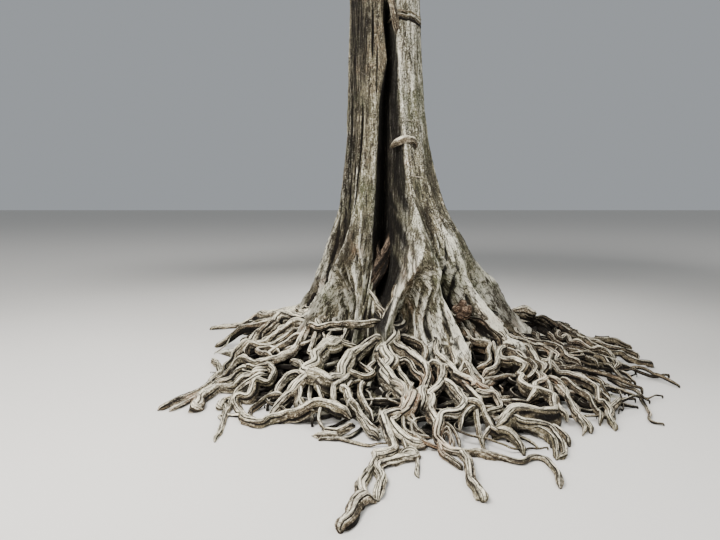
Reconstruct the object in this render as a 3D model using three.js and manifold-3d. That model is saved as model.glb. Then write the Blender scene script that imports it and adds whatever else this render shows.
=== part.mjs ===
// A banyan tree that stands on level ground: a fluted trunk with an open cleft, a spreading tangle of
// surface roots, forked boughs and a broad crown of leaf masses. Millimetres, +Z up. The origin is the
// middle of the flat cut under the trunk, and the cleft faces -Y.
import * as THREE from "three";
import { mergeVertices } from "three/addons/utils/BufferGeometryUtils.js";
import Module from "manifold-3d";

const wasm = await Module();
wasm.setup();

// Trunk
const forkHeight = 4950;
const trunkTop = forkHeight + 260;
const trunkGrid = { columns: 68, rows: 13, crowding: 1.6 }; // rows crowd towards the ground
const taper = {
  heights: [0, 3500, 4450, forkHeight, trunkTop],
  radii: [340, 334, 330, 346, 210],
};
const flare = { reach: 250, decay: 420 };
const skirt = { reach: 620, decay: 110 }; // the low plate that the roots have grown together to
const swing = { from: 450, to: 1250 }; // between these heights a buttress turns to its upper bearing
const fluteWidth = 15; // a buttress's width, in degrees, above the swing
const crest = { sharpness: 1.25, curve: 1.45 }; // how pointed a buttress is across and up the trunk

// Buttresses round the foot: bearing at the ground, bearing higher up and width at the ground in degrees,
// then reach and the height that it rises over
const buttress = (foot, top, width, reach, rise) => ({ foot, top, width, reach, rise });
const buttresses = [
  buttress(3, -8, 13, 1060, 1150),
  buttress(-36, -38, 10, 1000, 1100),
  buttress(-62, -60, 8, 860, 1100),
  buttress(-92, -67, 8, 860, 1150),
  buttress(-107, -118, 6, 500, 1100),
  buttress(-133, -124, 10, 720, 1050),
  buttress(-160, -162, 12, 150, 1700),
  buttress(178, 180, 12, 520, 1000),
  buttress(146, 150, 12, 780, 900),
  buttress(110, 114, 12, 800, 1100),
  buttress(74, 78, 12, 800, 1150),
  buttress(38, 34, 12, 860, 1150),
];

// The cleft between the two fused stems, at stations from the ground up
const cleft = {
  heights: [520, 660, 820, 1000, 1250, 1650, 2500, 2860, 3220, 3500],
  turns: [-95, -94, -93, -92, -90, -86, -85, -79, -84, -86],
  halfWidths: [3, 4.5, 7.5, 11, 13.5, 15.5, 14, 8, 10, 7],
  depths: [0, 0.4, 0.62, 0.74, 0.79, 0.8, 0.78, 0.7, 0.74, 0],
  sharpness: 5,
};

// Surface roots. They ride on a mound that falls away from the trunk and ends at a rim, whose reach
// differs round the tree. Reaches are a root's distances from the middle and turns its bearings in
// degrees, both at even steps along it; level is its share of the mound's height.
const mound = { height: 545, from: 700, decay: 1050 };
const rim = {
  turns: [-180, -160, -145, -128, -115, -90, -69, -53, -20, 0, 45, 90, 135, 180],
  reaches: [1700, 1650, 1750, 1950, 2100, 2400, 2600, 2550, 2850, 2850, 2600, 2600, 2350, 1700],
  sinkFrom: 0.78,
  sinkTo: 1.04,
};
const rootSection = { sides: 5, tall: 1.35, steps: 10 };
const root = (name, thick, thin, level, reaches, turns) => ({ name, thick, thin, level, reaches, turns });
const roots = [
  root("front_knee", 120, 60, 1.06, [620, 3180], [-79, -86, -92, -89, -88, -92, -94, -94, -97]),
  root("front_inner", 85, 50, 0.96, [900, 1950], [-88, -85, -82, -81, -82, -85]),
  root("front_snake", 76, 52, 1.02, [600, 2940], [-46, -61, -70, -73, -75, -80, -82, -81, -82]),
  root("front_right_long", 48, 36, 1, [2260, 2880], [-83, -78, -74, -71, -71, -73]),
  root("right_plank", 78, 44, 1.02, [760, 1810], [-42, -46, -47, -51, -58, -65, -66]),
  root("right_ribbon", 78, 55, 1.08, [900, 960, 1170, 1480, 1890, 2140, 2230], [-37, -20, -30, -48, -57, -59, -72]),
  root("right_one", 80, 44, 0.98, [900, 2280], [-38, -35, -39, -45, -51, -56, -58]),
  root("right_low", 72, 44, 0.96, [1400, 2510], [-40, -39, -42, -44, -47, -50, -53]),
  root("right_long", 72, 46, 1, [880, 2350], [-25, -27, -23, -24, -27, -26]),
  root("right_edge", 92, 52, 1.12, [660, 2780], [-15, -11, -9, -9, -10, -10, -14]),
  root("left_cross", 56, 46, 1, [1600, 2240], [-102, -101, -98, -96, -92]),
  root("left_hook", 90, 66, 1, [800, 980, 1240, 1420, 1600, 1660, 1500], [-90, -95, -103, -104, -107, -110, -113]),
  root("left_broad", 110, 54, 0.98, [820, 2010], [-110, -115, -115, -114, -115, -116]),
  root("left_loop", 52, 50, 0.98, [1480, 1730, 1860, 2090, 2080, 1900, 1990], [-126, -129, -128, -119, -114, -105, -97]),
  root("left_mass", 92, 66, 0.9, [860, 2200], [-128, -130, -134, -137, -135, -131]),
  root("left_top", 66, 50, 1.08, [740, 760, 910, 1400, 1600, 2130, 2400], [-98, -114, -131, -129, -143, -140, -137]),
  root("left_back", 90, 46, 1.02, [820, 830, 1000, 1210, 1410, 1700], [-138, -158, -176, -165, -155, -149]),
  root("left_edge", 110, 56, 0.92, [640, 1800], [170, 167, 175, 168, 172]),
  root("back_1", 126, 60, 0.98, [640, 2350], [148, 141, 149, 143, 152]),
  root("back_2", 110, 56, 0.9, [640, 2650], [122, 129, 118, 126, 121]),
  root("back_3", 130, 60, 1, [620, 2750], [106, 97, 104, 94, 99]),
  root("back_4", 118, 60, 0.94, [640, 2600], [74, 81, 70, 77, 70]),
  root("back_5", 110, 56, 0.9, [660, 2700], [50, 45, 56, 47, 52]),
  root("back_6", 122, 60, 0.98, [680, 2750], [32, 25, 33, 24, 28]),
];

// Crown: main boughs leave the fork, each splits at its tip into limbs, and each limb ends in one mass
const boughs = { count: 4, turn: -62, tipRadius: 2150, tipHeight: 6850, thick: 330, thin: 215, sink: 260 };
const leader = { height: 8900, lean: 240, thick: 340, thin: 200, sink: 150 };
const limbs = { thick: 185, thin: 95, sag: 0.05, intoMass: 0.28 };
const tiers = [
  { name: "low", count: 6, radius: 4300, height: 7400, wide: 2350, tall: 1750, turn: -80 },
  { name: "mid", count: 4, radius: 2600, height: 9750, wide: 2350, tall: 1750, turn: -62 },
  { name: "top", count: 3, radius: 1450, height: 11900, wide: 2200, tall: 1800, turn: -40 },
];
const uneven = { turn: 0.22, radius: 0.12, height: 400, size: 0.12 };
const twigs = { perMass: 7, reach: 0.66, stemThick: 90, stemThin: 60, thick: 42, thin: 26 };
const sprays = { perTwig: 3, length: 1250, width: 640, thick: 24, sizes: [1, 0.8, 0.62, 0.48], sunk: 4000 };
const cellGap = 15; // a twig or spray keeps this far inside its own mass's space
const seeds = { layout: 41, mass: 700 };
const goldenTurn = 137.5; // spreads directions evenly

// Fits
const gap = 0.6; // between neighbouring pieces
const groundBlock = 20000; // side of the block that cuts the roots off at ground level

const bark = { color: 0x8a7f6c, roughness: 0.9, metalness: 0 };
const rootBark = { color: 0x9a8b73, roughness: 0.85, metalness: 0 };
const leaf = { color: 0x3f5c2a, roughness: 0.6, metalness: 0 };

const radians = THREE.MathUtils.degToRad;
const bearing = (degrees, distance, height) =>
  new THREE.Vector3(Math.cos(radians(degrees)) * distance, Math.sin(radians(degrees)) * distance, height);

// Repeatable random numbers from 0 to 1
function seeded(seed) {
  let state = seed >>> 0;
  return () => {
    state = (state + 0x6d2b79f5) >>> 0;
    let mixed = Math.imul(state ^ (state >>> 15), state | 1);
    mixed ^= mixed + Math.imul(mixed ^ (mixed >>> 7), mixed | 61);
    return ((mixed ^ (mixed >>> 14)) >>> 0) / 4294967296;
  };
}

// Value at x of a line through stations
function through(stations, values, x) {
  if (x <= stations[0]) return values[0];
  for (let i = 1; i < stations.length; i++) {
    if (x <= stations[i]) {
      return THREE.MathUtils.mapLinear(x, stations[i - 1], stations[i], values[i - 1], values[i]);
    }
  }
  return values[values.length - 1];
}

const turnBetween = (a, b) => Math.abs(THREE.MathUtils.euclideanModulo(a - b + 180, 360) - 180);

// Solids and meshes
function solidOf(geometry) {
  const bare = geometry.clone();
  bare.deleteAttribute("normal");
  bare.deleteAttribute("uv");
  const merged = mergeVertices(bare, 1e-3);
  return new wasm.Manifold(new wasm.Mesh({
    numProp: 3,
    vertProperties: merged.attributes.position.array,
    triVerts: new Uint32Array(merged.index.array),
  }));
}

function geometryOf(solid) {
  const mesh = solid.getMesh();
  const geometry = new THREE.BufferGeometry();
  geometry.setAttribute("position", new THREE.BufferAttribute(mesh.vertProperties, 3));
  geometry.setIndex(new THREE.BufferAttribute(mesh.triVerts, 1));
  geometry.computeVertexNormals();
  return geometry;
}

const largestOf = (solid) => solid.decompose().reduce((a, b) => (b.volume() > a.volume() ? b : a));

// Trunk: a closed cylinder whose rows and columns are moved out to the fluted surface
function trunkSurface(turn, height) {
  const high = THREE.MathUtils.smoothstep(height, swing.from, swing.to);
  let out = through(taper.heights, taper.radii, height);
  out += flare.reach * Math.exp(-height / flare.decay);
  out += skirt.reach * Math.exp(-height / skirt.decay);
  for (const { foot, top, width, reach, rise } of buttresses) {
    const away = turnBetween(turn, THREE.MathUtils.lerp(foot, top, high));
    const ridge = Math.exp(-((away / THREE.MathUtils.lerp(width, fluteWidth, high)) ** crest.sharpness));
    out += reach * Math.exp(-((height / rise) ** crest.curve)) * ridge;
  }
  const into = turnBetween(turn, through(cleft.heights, cleft.turns, height));
  const open = Math.exp(-((into / through(cleft.heights, cleft.halfWidths, height)) ** cleft.sharpness));
  return out * (1 - open * through(cleft.heights, cleft.depths, height));
}

function trunkSolid(swell) {
  const { columns, rows, crowding } = trunkGrid;
  const geometry = new THREE.CylinderGeometry(1, 1, 1, columns, rows);
  const at = geometry.attributes.position;
  for (let i = 0; i < at.count; i++) {
    const share = at.getY(i) + 0.5;
    const height = trunkTop * share ** crowding;
    const turn = THREE.MathUtils.radToDeg(Math.atan2(-at.getZ(i), at.getX(i)));
    const onAxis = Math.hypot(at.getX(i), at.getZ(i)) < 0.5;
    const lift = share === 1 ? swell : 0;
    const place = bearing(turn, onAxis ? 0 : trunkSurface(turn, height) + swell, height + lift);
    at.setXYZ(i, place.x, place.y, place.z);
  }
  return solidOf(geometry);
}

// Limb: a closed cylinder bent along a curve, tapering from one thickness to the other
function limbSolid(curve, thick, thin, sides, steps, swell = 0, tall = 1) {
  const geometry = new THREE.CylinderGeometry(1, 1, 1, sides, steps);
  const frames = curve.computeFrenetFrames(steps);
  const at = geometry.attributes.position;
  for (let i = 0; i < at.count; i++) {
    const share = at.getY(i) + 0.5;
    const step = Math.round(share * steps);
    const radius = THREE.MathUtils.lerp(thick, thin, share) / 2 + swell;
    const off = new THREE.Vector3()
      .addScaledVector(frames.binormals[step], at.getX(i) * radius)
      .addScaledVector(frames.normals[step], at.getZ(i) * radius);
    off.z *= tall;
    if (step === 0) off.addScaledVector(frames.tangents[step], -swell);
    if (step === steps) off.addScaledVector(frames.tangents[step], swell);
    const place = curve.getPointAt(share).add(off);
    at.setXYZ(i, place.x, place.y, place.z);
  }
  return solidOf(geometry);
}

// Root
function moundHeight(turn, distance) {
  const edge = through(rim.turns, rim.reaches, THREE.MathUtils.euclideanModulo(turn + 180, 360) - 180);
  const height = mound.height * Math.exp(-(distance - mound.from) / mound.decay);
  return height * (1 - THREE.MathUtils.smoothstep(distance, rim.sinkFrom * edge, rim.sinkTo * edge));
}

function rootCurve({ level, reaches, turns }) {
  const [distances, bearings] = [reaches, turns].map((values) => new THREE.SplineCurve(
    values.map((value, i) => new THREE.Vector2(i / (values.length - 1), value))));
  const last = 3 * (turns.length - 1);
  const points = Array.from({ length: last + 1 }, (_, i) => {
    const turn = bearings.getPoint(i / last).y;
    const distance = distances.getPoint(i / last).y;
    return bearing(turn, distance, level * moundHeight(turn, distance));
  });
  return new THREE.CatmullRomCurve3(points, false, "centripetal");
}

function rootSolid({ thick, thin }, curve, swell) {
  const { sides, tall, steps } = rootSection;
  return limbSolid(curve, thick, thin, sides, steps, swell, tall);
}

// Crown layout: tiers of masses, each with its middle and its half sizes
function crownMasses() {
  const random = seeded(seeds.layout);
  return tiers.flatMap((tier) => Array.from({ length: tier.count }, (_, i) => {
    const turn = tier.turn + (360 / tier.count) * (i + uneven.turn * (random() - 0.5));
    const distance = tier.radius * (1 + uneven.radius * (random() - 0.5));
    const height = tier.height + uneven.height * (random() - 0.5);
    const size = 1 + uneven.size * (random() - 0.5);
    const name = `${tier.name}_${i + 1}`;
    const middle = bearing(turn, distance, height);
    return { name, tier: tier.name, middle, wide: tier.wide * size, tall: tier.tall * size };
  }));
}

function boughCurve(index) {
  const turn = boughs.turn + (360 / boughs.count) * index;
  const rise = boughs.tipHeight - forkHeight;
  return new THREE.CatmullRomCurve3([
    bearing(turn, boughs.tipRadius * 0.03, forkHeight - boughs.sink),
    bearing(turn, boughs.tipRadius * 0.3, forkHeight + rise * 0.22),
    bearing(turn - 7, boughs.tipRadius * 0.66, forkHeight + rise * 0.68),
    bearing(turn, boughs.tipRadius, boughs.tipHeight),
  ]);
}

function leaderCurve() {
  const rise = leader.height - forkHeight;
  return new THREE.CatmullRomCurve3([
    bearing(0, 0, forkHeight - leader.sink),
    bearing(40, leader.lean, forkHeight + rise * 0.35),
    bearing(130, leader.lean, forkHeight + rise * 0.7),
    bearing(200, leader.lean * 0.4, leader.height),
  ]);
}

// From a bough's tip, sagging a little, to just inside a mass
function limbCurve(from, mass) {
  const way = mass.middle.distanceTo(from);
  const end = from.clone().lerp(mass.middle, Math.max(0.3, 1 - ((1 - limbs.intoMass) * mass.tall) / way));
  const bow = from.clone().lerp(end, 0.5);
  bow.z -= way * limbs.sag;
  return new THREE.CatmullRomCurve3([from, bow, end]);
}

// True where a point is in the mass's own space: inside its outline and nearer to it than to any other
function inSpace(point, mass, masses) {
  const off = point.clone().sub(mass.middle);
  if (Math.hypot(off.x / mass.wide, off.y / mass.wide, off.z / mass.tall) > 1) return false;
  return masses.every((other) => {
    if (other === mass) return true;
    const between = other.middle.clone().sub(mass.middle);
    return off.dot(between) / between.length() < between.length() / 2 - cellGap;
  });
}

// Spray: a thin blade whose root is sunk to the middle of its twig
function sprayBlade(root, along, up, size) {
  const length = sprays.length * size;
  const side = new THREE.Vector3().crossVectors(up, along).normalize();
  const blade = new THREE.OctahedronGeometry(1);
  blade.scale(length / 2, (sprays.width * size) / 2, sprays.thick / 2);
  blade.translate(length / 2, 0, 0);
  blade.applyMatrix4(new THREE.Matrix4().makeBasis(along, side, up).setPosition(root));
  return blade;
}

function cornersOf(geometry) {
  const at = geometry.attributes.position;
  return Array.from({ length: at.count }, (_, i) => new THREE.Vector3().fromBufferAttribute(at, i));
}

// Mass: one stem goes on from the limb's tip, twigs leave it towards all sides, and each twig carries
// sprays along its outer half and one at its tip
function massSolid(mass, limb, masses, limbsRoom, seed) {
  const random = seeded(seed);
  const foot = limb.getPointAt(1).addScaledVector(limb.getTangentAt(1), gap);
  const bend = foot.clone().addScaledVector(limb.getTangentAt(1), foot.distanceTo(mass.middle) / 2);
  const stem = new THREE.QuadraticBezierCurve3(foot, bend, mass.middle);
  let solid = limbSolid(stem, twigs.stemThick, twigs.stemThin, 5, 3);
  const spin = random() * 360;
  const clear = (blade) =>
    cornersOf(blade).every((p) => inSpace(p, mass, masses)) &&
    solidOf(blade).intersect(limbsRoom).isEmpty() &&
    solidOf(blade).intersect(solid).volume() < sprays.sunk;
  const reach = new THREE.Vector3(mass.wide, mass.wide, mass.tall).multiplyScalar(twigs.reach);
  for (let k = 0; k < twigs.perMass; k++) {
    const lift = 1 - (2 * (k + 0.5)) / twigs.perMass;
    const aim = bearing(spin + k * goldenTurn, Math.sqrt(1 - lift * lift), lift);
    const tip = aim.multiply(reach).add(mass.middle);
    const root = stem.getPointAt(0.45 + 0.5 * random());
    const heading = tip.clone().sub(root).normalize();
    const across = new THREE.Vector3(-heading.y, heading.x, 0).normalize();
    const upward = new THREE.Vector3().crossVectors(heading, across).normalize();
    const line = new THREE.LineCurve3(root, tip);
    const twig = limbSolid(line, twigs.thick, twigs.thin, 3, 1);
    const grows = inSpace(tip, mass, masses) && twig.intersect(limbsRoom).isEmpty();
    if (grows) solid = solid.add(twig);
    for (let n = 0; n <= sprays.perTwig; n++) {
      const atTip = n === sprays.perTwig;
      const fan = atTip ? 0 : (n % 2 ? 1 : -1) * (45 + 30 * random());
      const share = atTip ? 0.96 : 0.38 + (0.5 * n) / sprays.perTwig + 0.08 * random();
      const along = heading.clone().applyAxisAngle(upward, radians(fan));
      along.z -= 0.1 + 0.2 * random();
      along.normalize();
      const roll = radians((random() - 0.5) * 70);
      const up = upward.clone().projectOnPlane(along).normalize().applyAxisAngle(along, roll);
      const blades = sprays.sizes.map((size) => sprayBlade(line.getPointAt(share), along, up, size));
      const blade = blades.find(clear);
      if (grows && blade) solid = solid.add(solidOf(blade));
    }
  }
  return solid;
}

// Assembly
const tree = new THREE.Group();
function place(name, solid, finish) {
  const mesh = new THREE.Mesh(geometryOf(largestOf(solid)), new THREE.MeshStandardMaterial(finish));
  mesh.name = name;
  tree.add(mesh);
}

place("trunk", trunkSolid(0), bark);
const trunkRoom = trunkSolid(1.3 * gap);

let rootsRoom = trunkRoom.add(solidOf(new THREE.BoxGeometry(groundBlock, groundBlock, groundBlock)
  .translate(0, 0, -groundBlock / 2)));
for (const one of roots) {
  const curve = rootCurve(one);
  place(`root_${one.name}`, rootSolid(one, curve, 0).subtract(rootsRoom), rootBark);
  rootsRoom = rootsRoom.add(rootSolid(one, curve, gap));
}

let limbsRoom = trunkRoom;
function placeLimb(name, curve, { thick, thin }, sides, steps) {
  place(name, limbSolid(curve, thick, thin, sides, steps).subtract(limbsRoom), bark);
  limbsRoom = limbsRoom.add(limbSolid(curve, thick, thin, sides, steps, 0.9 * gap));
}
const boughCurves = Array.from({ length: boughs.count }, (_, i) => boughCurve(i));
boughCurves.forEach((curve, i) => placeLimb(`bough_${i + 1}`, curve, boughs, 8, 6));
placeLimb("bough_leader", leaderCurve(), leader, 8, 6);

const masses = crownMasses();
const massLimbs = masses.map((mass) => {
  const toMass = (curve) => curve.getPointAt(1).distanceTo(mass.middle);
  const nearest = boughCurves.reduce((a, b) => (toMass(b) < toMass(a) ? b : a));
  const parent = mass.tier === "top" ? leaderCurve() : nearest;
  const curve = limbCurve(parent.getPointAt(0.97), mass);
  placeLimb(`limb_${mass.name}`, curve, limbs, 6, 4);
  return curve;
});
masses.forEach((mass, i) => {
  place(`foliage_${mass.name}`, massSolid(mass, massLimbs[i], masses, limbsRoom, seeds.mass + i), leaf);
});

export default tree;
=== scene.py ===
import itertools
import math

import bpy
import numpy as np
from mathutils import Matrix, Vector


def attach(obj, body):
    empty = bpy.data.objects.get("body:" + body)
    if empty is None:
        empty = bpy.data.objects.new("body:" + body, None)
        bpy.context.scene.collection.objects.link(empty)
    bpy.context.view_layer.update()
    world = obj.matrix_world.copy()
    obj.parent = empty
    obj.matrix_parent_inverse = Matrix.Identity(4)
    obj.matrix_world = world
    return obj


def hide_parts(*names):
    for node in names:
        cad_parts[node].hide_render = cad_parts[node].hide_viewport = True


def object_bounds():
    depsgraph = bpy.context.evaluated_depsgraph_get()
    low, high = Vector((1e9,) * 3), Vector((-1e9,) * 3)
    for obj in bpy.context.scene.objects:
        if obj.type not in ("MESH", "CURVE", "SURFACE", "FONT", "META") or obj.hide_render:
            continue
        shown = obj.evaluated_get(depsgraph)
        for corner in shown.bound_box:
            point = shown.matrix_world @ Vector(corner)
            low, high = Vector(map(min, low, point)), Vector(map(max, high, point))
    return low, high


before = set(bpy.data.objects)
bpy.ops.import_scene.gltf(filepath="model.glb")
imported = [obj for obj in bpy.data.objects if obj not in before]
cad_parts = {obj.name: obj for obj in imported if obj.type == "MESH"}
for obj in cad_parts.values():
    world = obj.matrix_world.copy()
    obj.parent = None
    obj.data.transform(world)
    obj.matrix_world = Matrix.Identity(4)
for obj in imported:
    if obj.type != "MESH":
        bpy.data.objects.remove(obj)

cadBox = np.array(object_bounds())


# Camera: a standing person's phone, 5.5 m in front of the trunk
view = {
    "sideways": -0.24, "distance": 5.5, "eye": 1.5, "downTilt": 6.5, "focalPixels": 541.0, "framePixels": 720,
    "sensorWidth": 36,
}


def makeCamera():
    data = bpy.data.cameras.new("camera")
    camera = bpy.data.objects.new("camera", data)
    bpy.context.collection.objects.link(camera)
    data.sensor_width = view["sensorWidth"]
    data.lens = view["focalPixels"] / view["framePixels"] * data.sensor_width
    camera.location = (view["sideways"], -view["distance"], view["eye"])
    camera.rotation_euler = (math.radians(90 - view["downTilt"]), 0, 0)
    bpy.context.scene.camera = camera


fullBits = 0xffffffff  # keeps a whole number to 32 bits


# Repeatable random numbers, the same as the solids' own
class SeededRandom:
    def __init__(self, seed):
        self.state = seed

    def __call__(self):
        self.state = (self.state + 0x6d2b79f5) & fullBits
        mixed = ((self.state ^ (self.state >> 15)) * (self.state | 1)) & fullBits
        mixed ^= (mixed + (mixed ^ (mixed >> 7)) * (mixed | 61)) & fullBits
        return (mixed ^ (mixed >> 14)) / 2 ** 32

    def between(self, low, high):
        return low + (high - low) * self()


# Smooth lattice noise from -1 to 1, on arrays
def softNoise(x, y, z, seed=0):
    place = np.stack(np.broadcast_arrays(x, y, z), -1).astype(float)
    cell = np.floor(place)
    blend = place - cell
    blend = blend * blend * (3 - 2 * blend)
    cell = cell.astype(np.int64)
    total = np.zeros(place.shape[:-1])
    for dx, dy, dz in itertools.product((0, 1), repeat=3):
        mixed = (cell[..., 0] + dx) * 73856093 ^ (cell[..., 1] + dy) * 19349663
        mixed = (mixed ^ (cell[..., 2] + dz) * 83492791 ^ (seed + 7) * 265443576) & fullBits
        mixed = (mixed ^ (mixed >> 13)) * 1274126177 & fullBits
        mixed = (mixed ^ (mixed >> 16)) * 2246822519 & fullBits
        value = (mixed ^ (mixed >> 15)) / 2 ** 31 - 1
        share = (blend[..., 0] if dx else 1 - blend[..., 0])
        share = share * (blend[..., 1] if dy else 1 - blend[..., 1])
        total += value * share * (blend[..., 2] if dz else 1 - blend[..., 2])
    return total


def smoothStep(low, high, x):
    t = np.clip((x - low) / (high - low), 0, 1)
    return t * t * (3 - 2 * t)


def signed(turn):  # a bearing between -180 and 180
    return (turn + 180) % 360 - 180


def turnBetween(a, b):
    return np.abs(signed(a - b))


# 1 at a bearing, falling to 0 on both sides of it
def nearTurn(turn, middle, width, power=2):
    return np.exp(-(turnBetween(turn, middle) / width) ** power)


def bearing(turn, distance, height):
    angle = np.radians(turn)
    return np.stack(np.broadcast_arrays(np.cos(angle) * distance, np.sin(angle) * distance, height), -1)


def unit(vector):
    return vector / np.linalg.norm(vector)


def runAlong(path):
    return np.concatenate([[0], np.cumsum(np.linalg.norm(np.diff(path, axis=0), axis=1))])


# A curve through points, in even steps of length (centripetal, as the solids' curves are)
def curveThrough(points, step):
    points = np.asarray(points, float)
    ends = np.vstack([2 * points[0] - points[1], points, 2 * points[-1] - points[-2]])
    t = np.linspace(0, 1, 13)[:-1, None]
    dense = []
    for i in range(len(points) - 1):
        p0, p1, p2, p3 = ends[i:i + 4]
        d0, d1, d2 = (max(np.linalg.norm(b - a), 1e-6) ** 0.5 for a, b in ((p0, p1), (p1, p2), (p2, p3)))
        m1 = ((p1 - p0) / d0 - (p2 - p0) / (d0 + d1) + (p2 - p1) / d1) * d1
        m2 = ((p2 - p1) / d1 - (p3 - p1) / (d1 + d2) + (p3 - p2) / d2) * d1
        square, cube = 3 * (p2 - p1) - 2 * m1 - m2, 2 * (p1 - p2) + m1 + m2
        dense.append(p1 + m1 * t + square * t ** 2 + cube * t ** 3)
    dense = np.vstack(dense + [points[-1:]])
    lengths = runAlong(dense)
    wanted = np.linspace(0, lengths[-1], max(4, int(lengths[-1] / step) + 1))
    return np.stack([np.interp(wanted, lengths, dense[:, k]) for k in range(3)], -1)


# Meshes from arrays: quads first, then triangles
def makePiece(name, points, quads, triangles, grain=None, values=None):
    mesh = bpy.data.meshes.new(name)
    corners = np.concatenate([quads.ravel(), triangles.ravel()]).astype(np.int32)
    starts = np.concatenate([np.arange(len(quads)) * 4, len(quads) * 4 + np.arange(len(triangles)) * 3])
    mesh.vertices.add(len(points))
    mesh.vertices.foreach_set("co", points.astype(np.float32).ravel())
    mesh.loops.add(len(corners))
    mesh.loops.foreach_set("vertex_index", corners)
    mesh.polygons.add(len(starts))
    mesh.polygons.foreach_set("loop_start", starts.astype(np.int32))
    mesh.update(calc_edges=True)
    mesh.shade_smooth()
    if grain is not None:
        layer = mesh.uv_layers.new(name="grain")
        layer.uv.foreach_set("vector", grain.astype(np.float32).ravel())
    for key, value in (values or {}).items():
        attribute = mesh.attributes.new(key, "FLOAT", "POINT")
        attribute.data.foreach_set("value", value.astype(np.float32).ravel())
    piece = bpy.data.objects.new(name, mesh)
    bpy.context.collection.objects.link(piece)
    return piece


# What each piece of the tree states: finishes, the body that it rides and the node that it replaces
def settle(piece, finishes, node=None):
    for finish in finishes:
        piece.data.materials.append(materials[finish])
    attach(piece, "root")
    if node:
        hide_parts(node)


# Elbows: straight runs between random turning points, to one side and then the other, a little eased
elbowForm = {"gaps": (0.55, 1.5), "sideways": (0.25, 1), "otherSide": 0.8}


def elbows(run, spacing, ease, seed):
    random = SeededRandom(seed * 31 + 5)
    spots, values, side = [0.0], [0.0], 1
    while spots[-1] < run[-1]:
        spots.append(spots[-1] + spacing * random.between(*elbowForm["gaps"]))
        values.append(side * random.between(*elbowForm["sideways"]))
        side = -side if random() < elbowForm["otherSide"] else side
    line = np.interp(run, spots, values)
    width = max(1, int(ease / max(run[1], 1e-4)))
    padded = np.pad(line, width, mode="edge")
    return np.convolve(padded, np.ones(width) / width, "same")[width:-width]


# A bent tube as arrays. Its section is a bundle of rounded strands with creases between them, which turn
# slowly along the way. It can stand on edge, and its lower half can be drawn out to a plate.
tubeForm = {"drift": 2.2, "swell": 0.15, "ripple": 0.1, "oval": 0.1, "finer": 0.6, "drawnIn": 0.6, "tip": 0.5}


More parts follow.
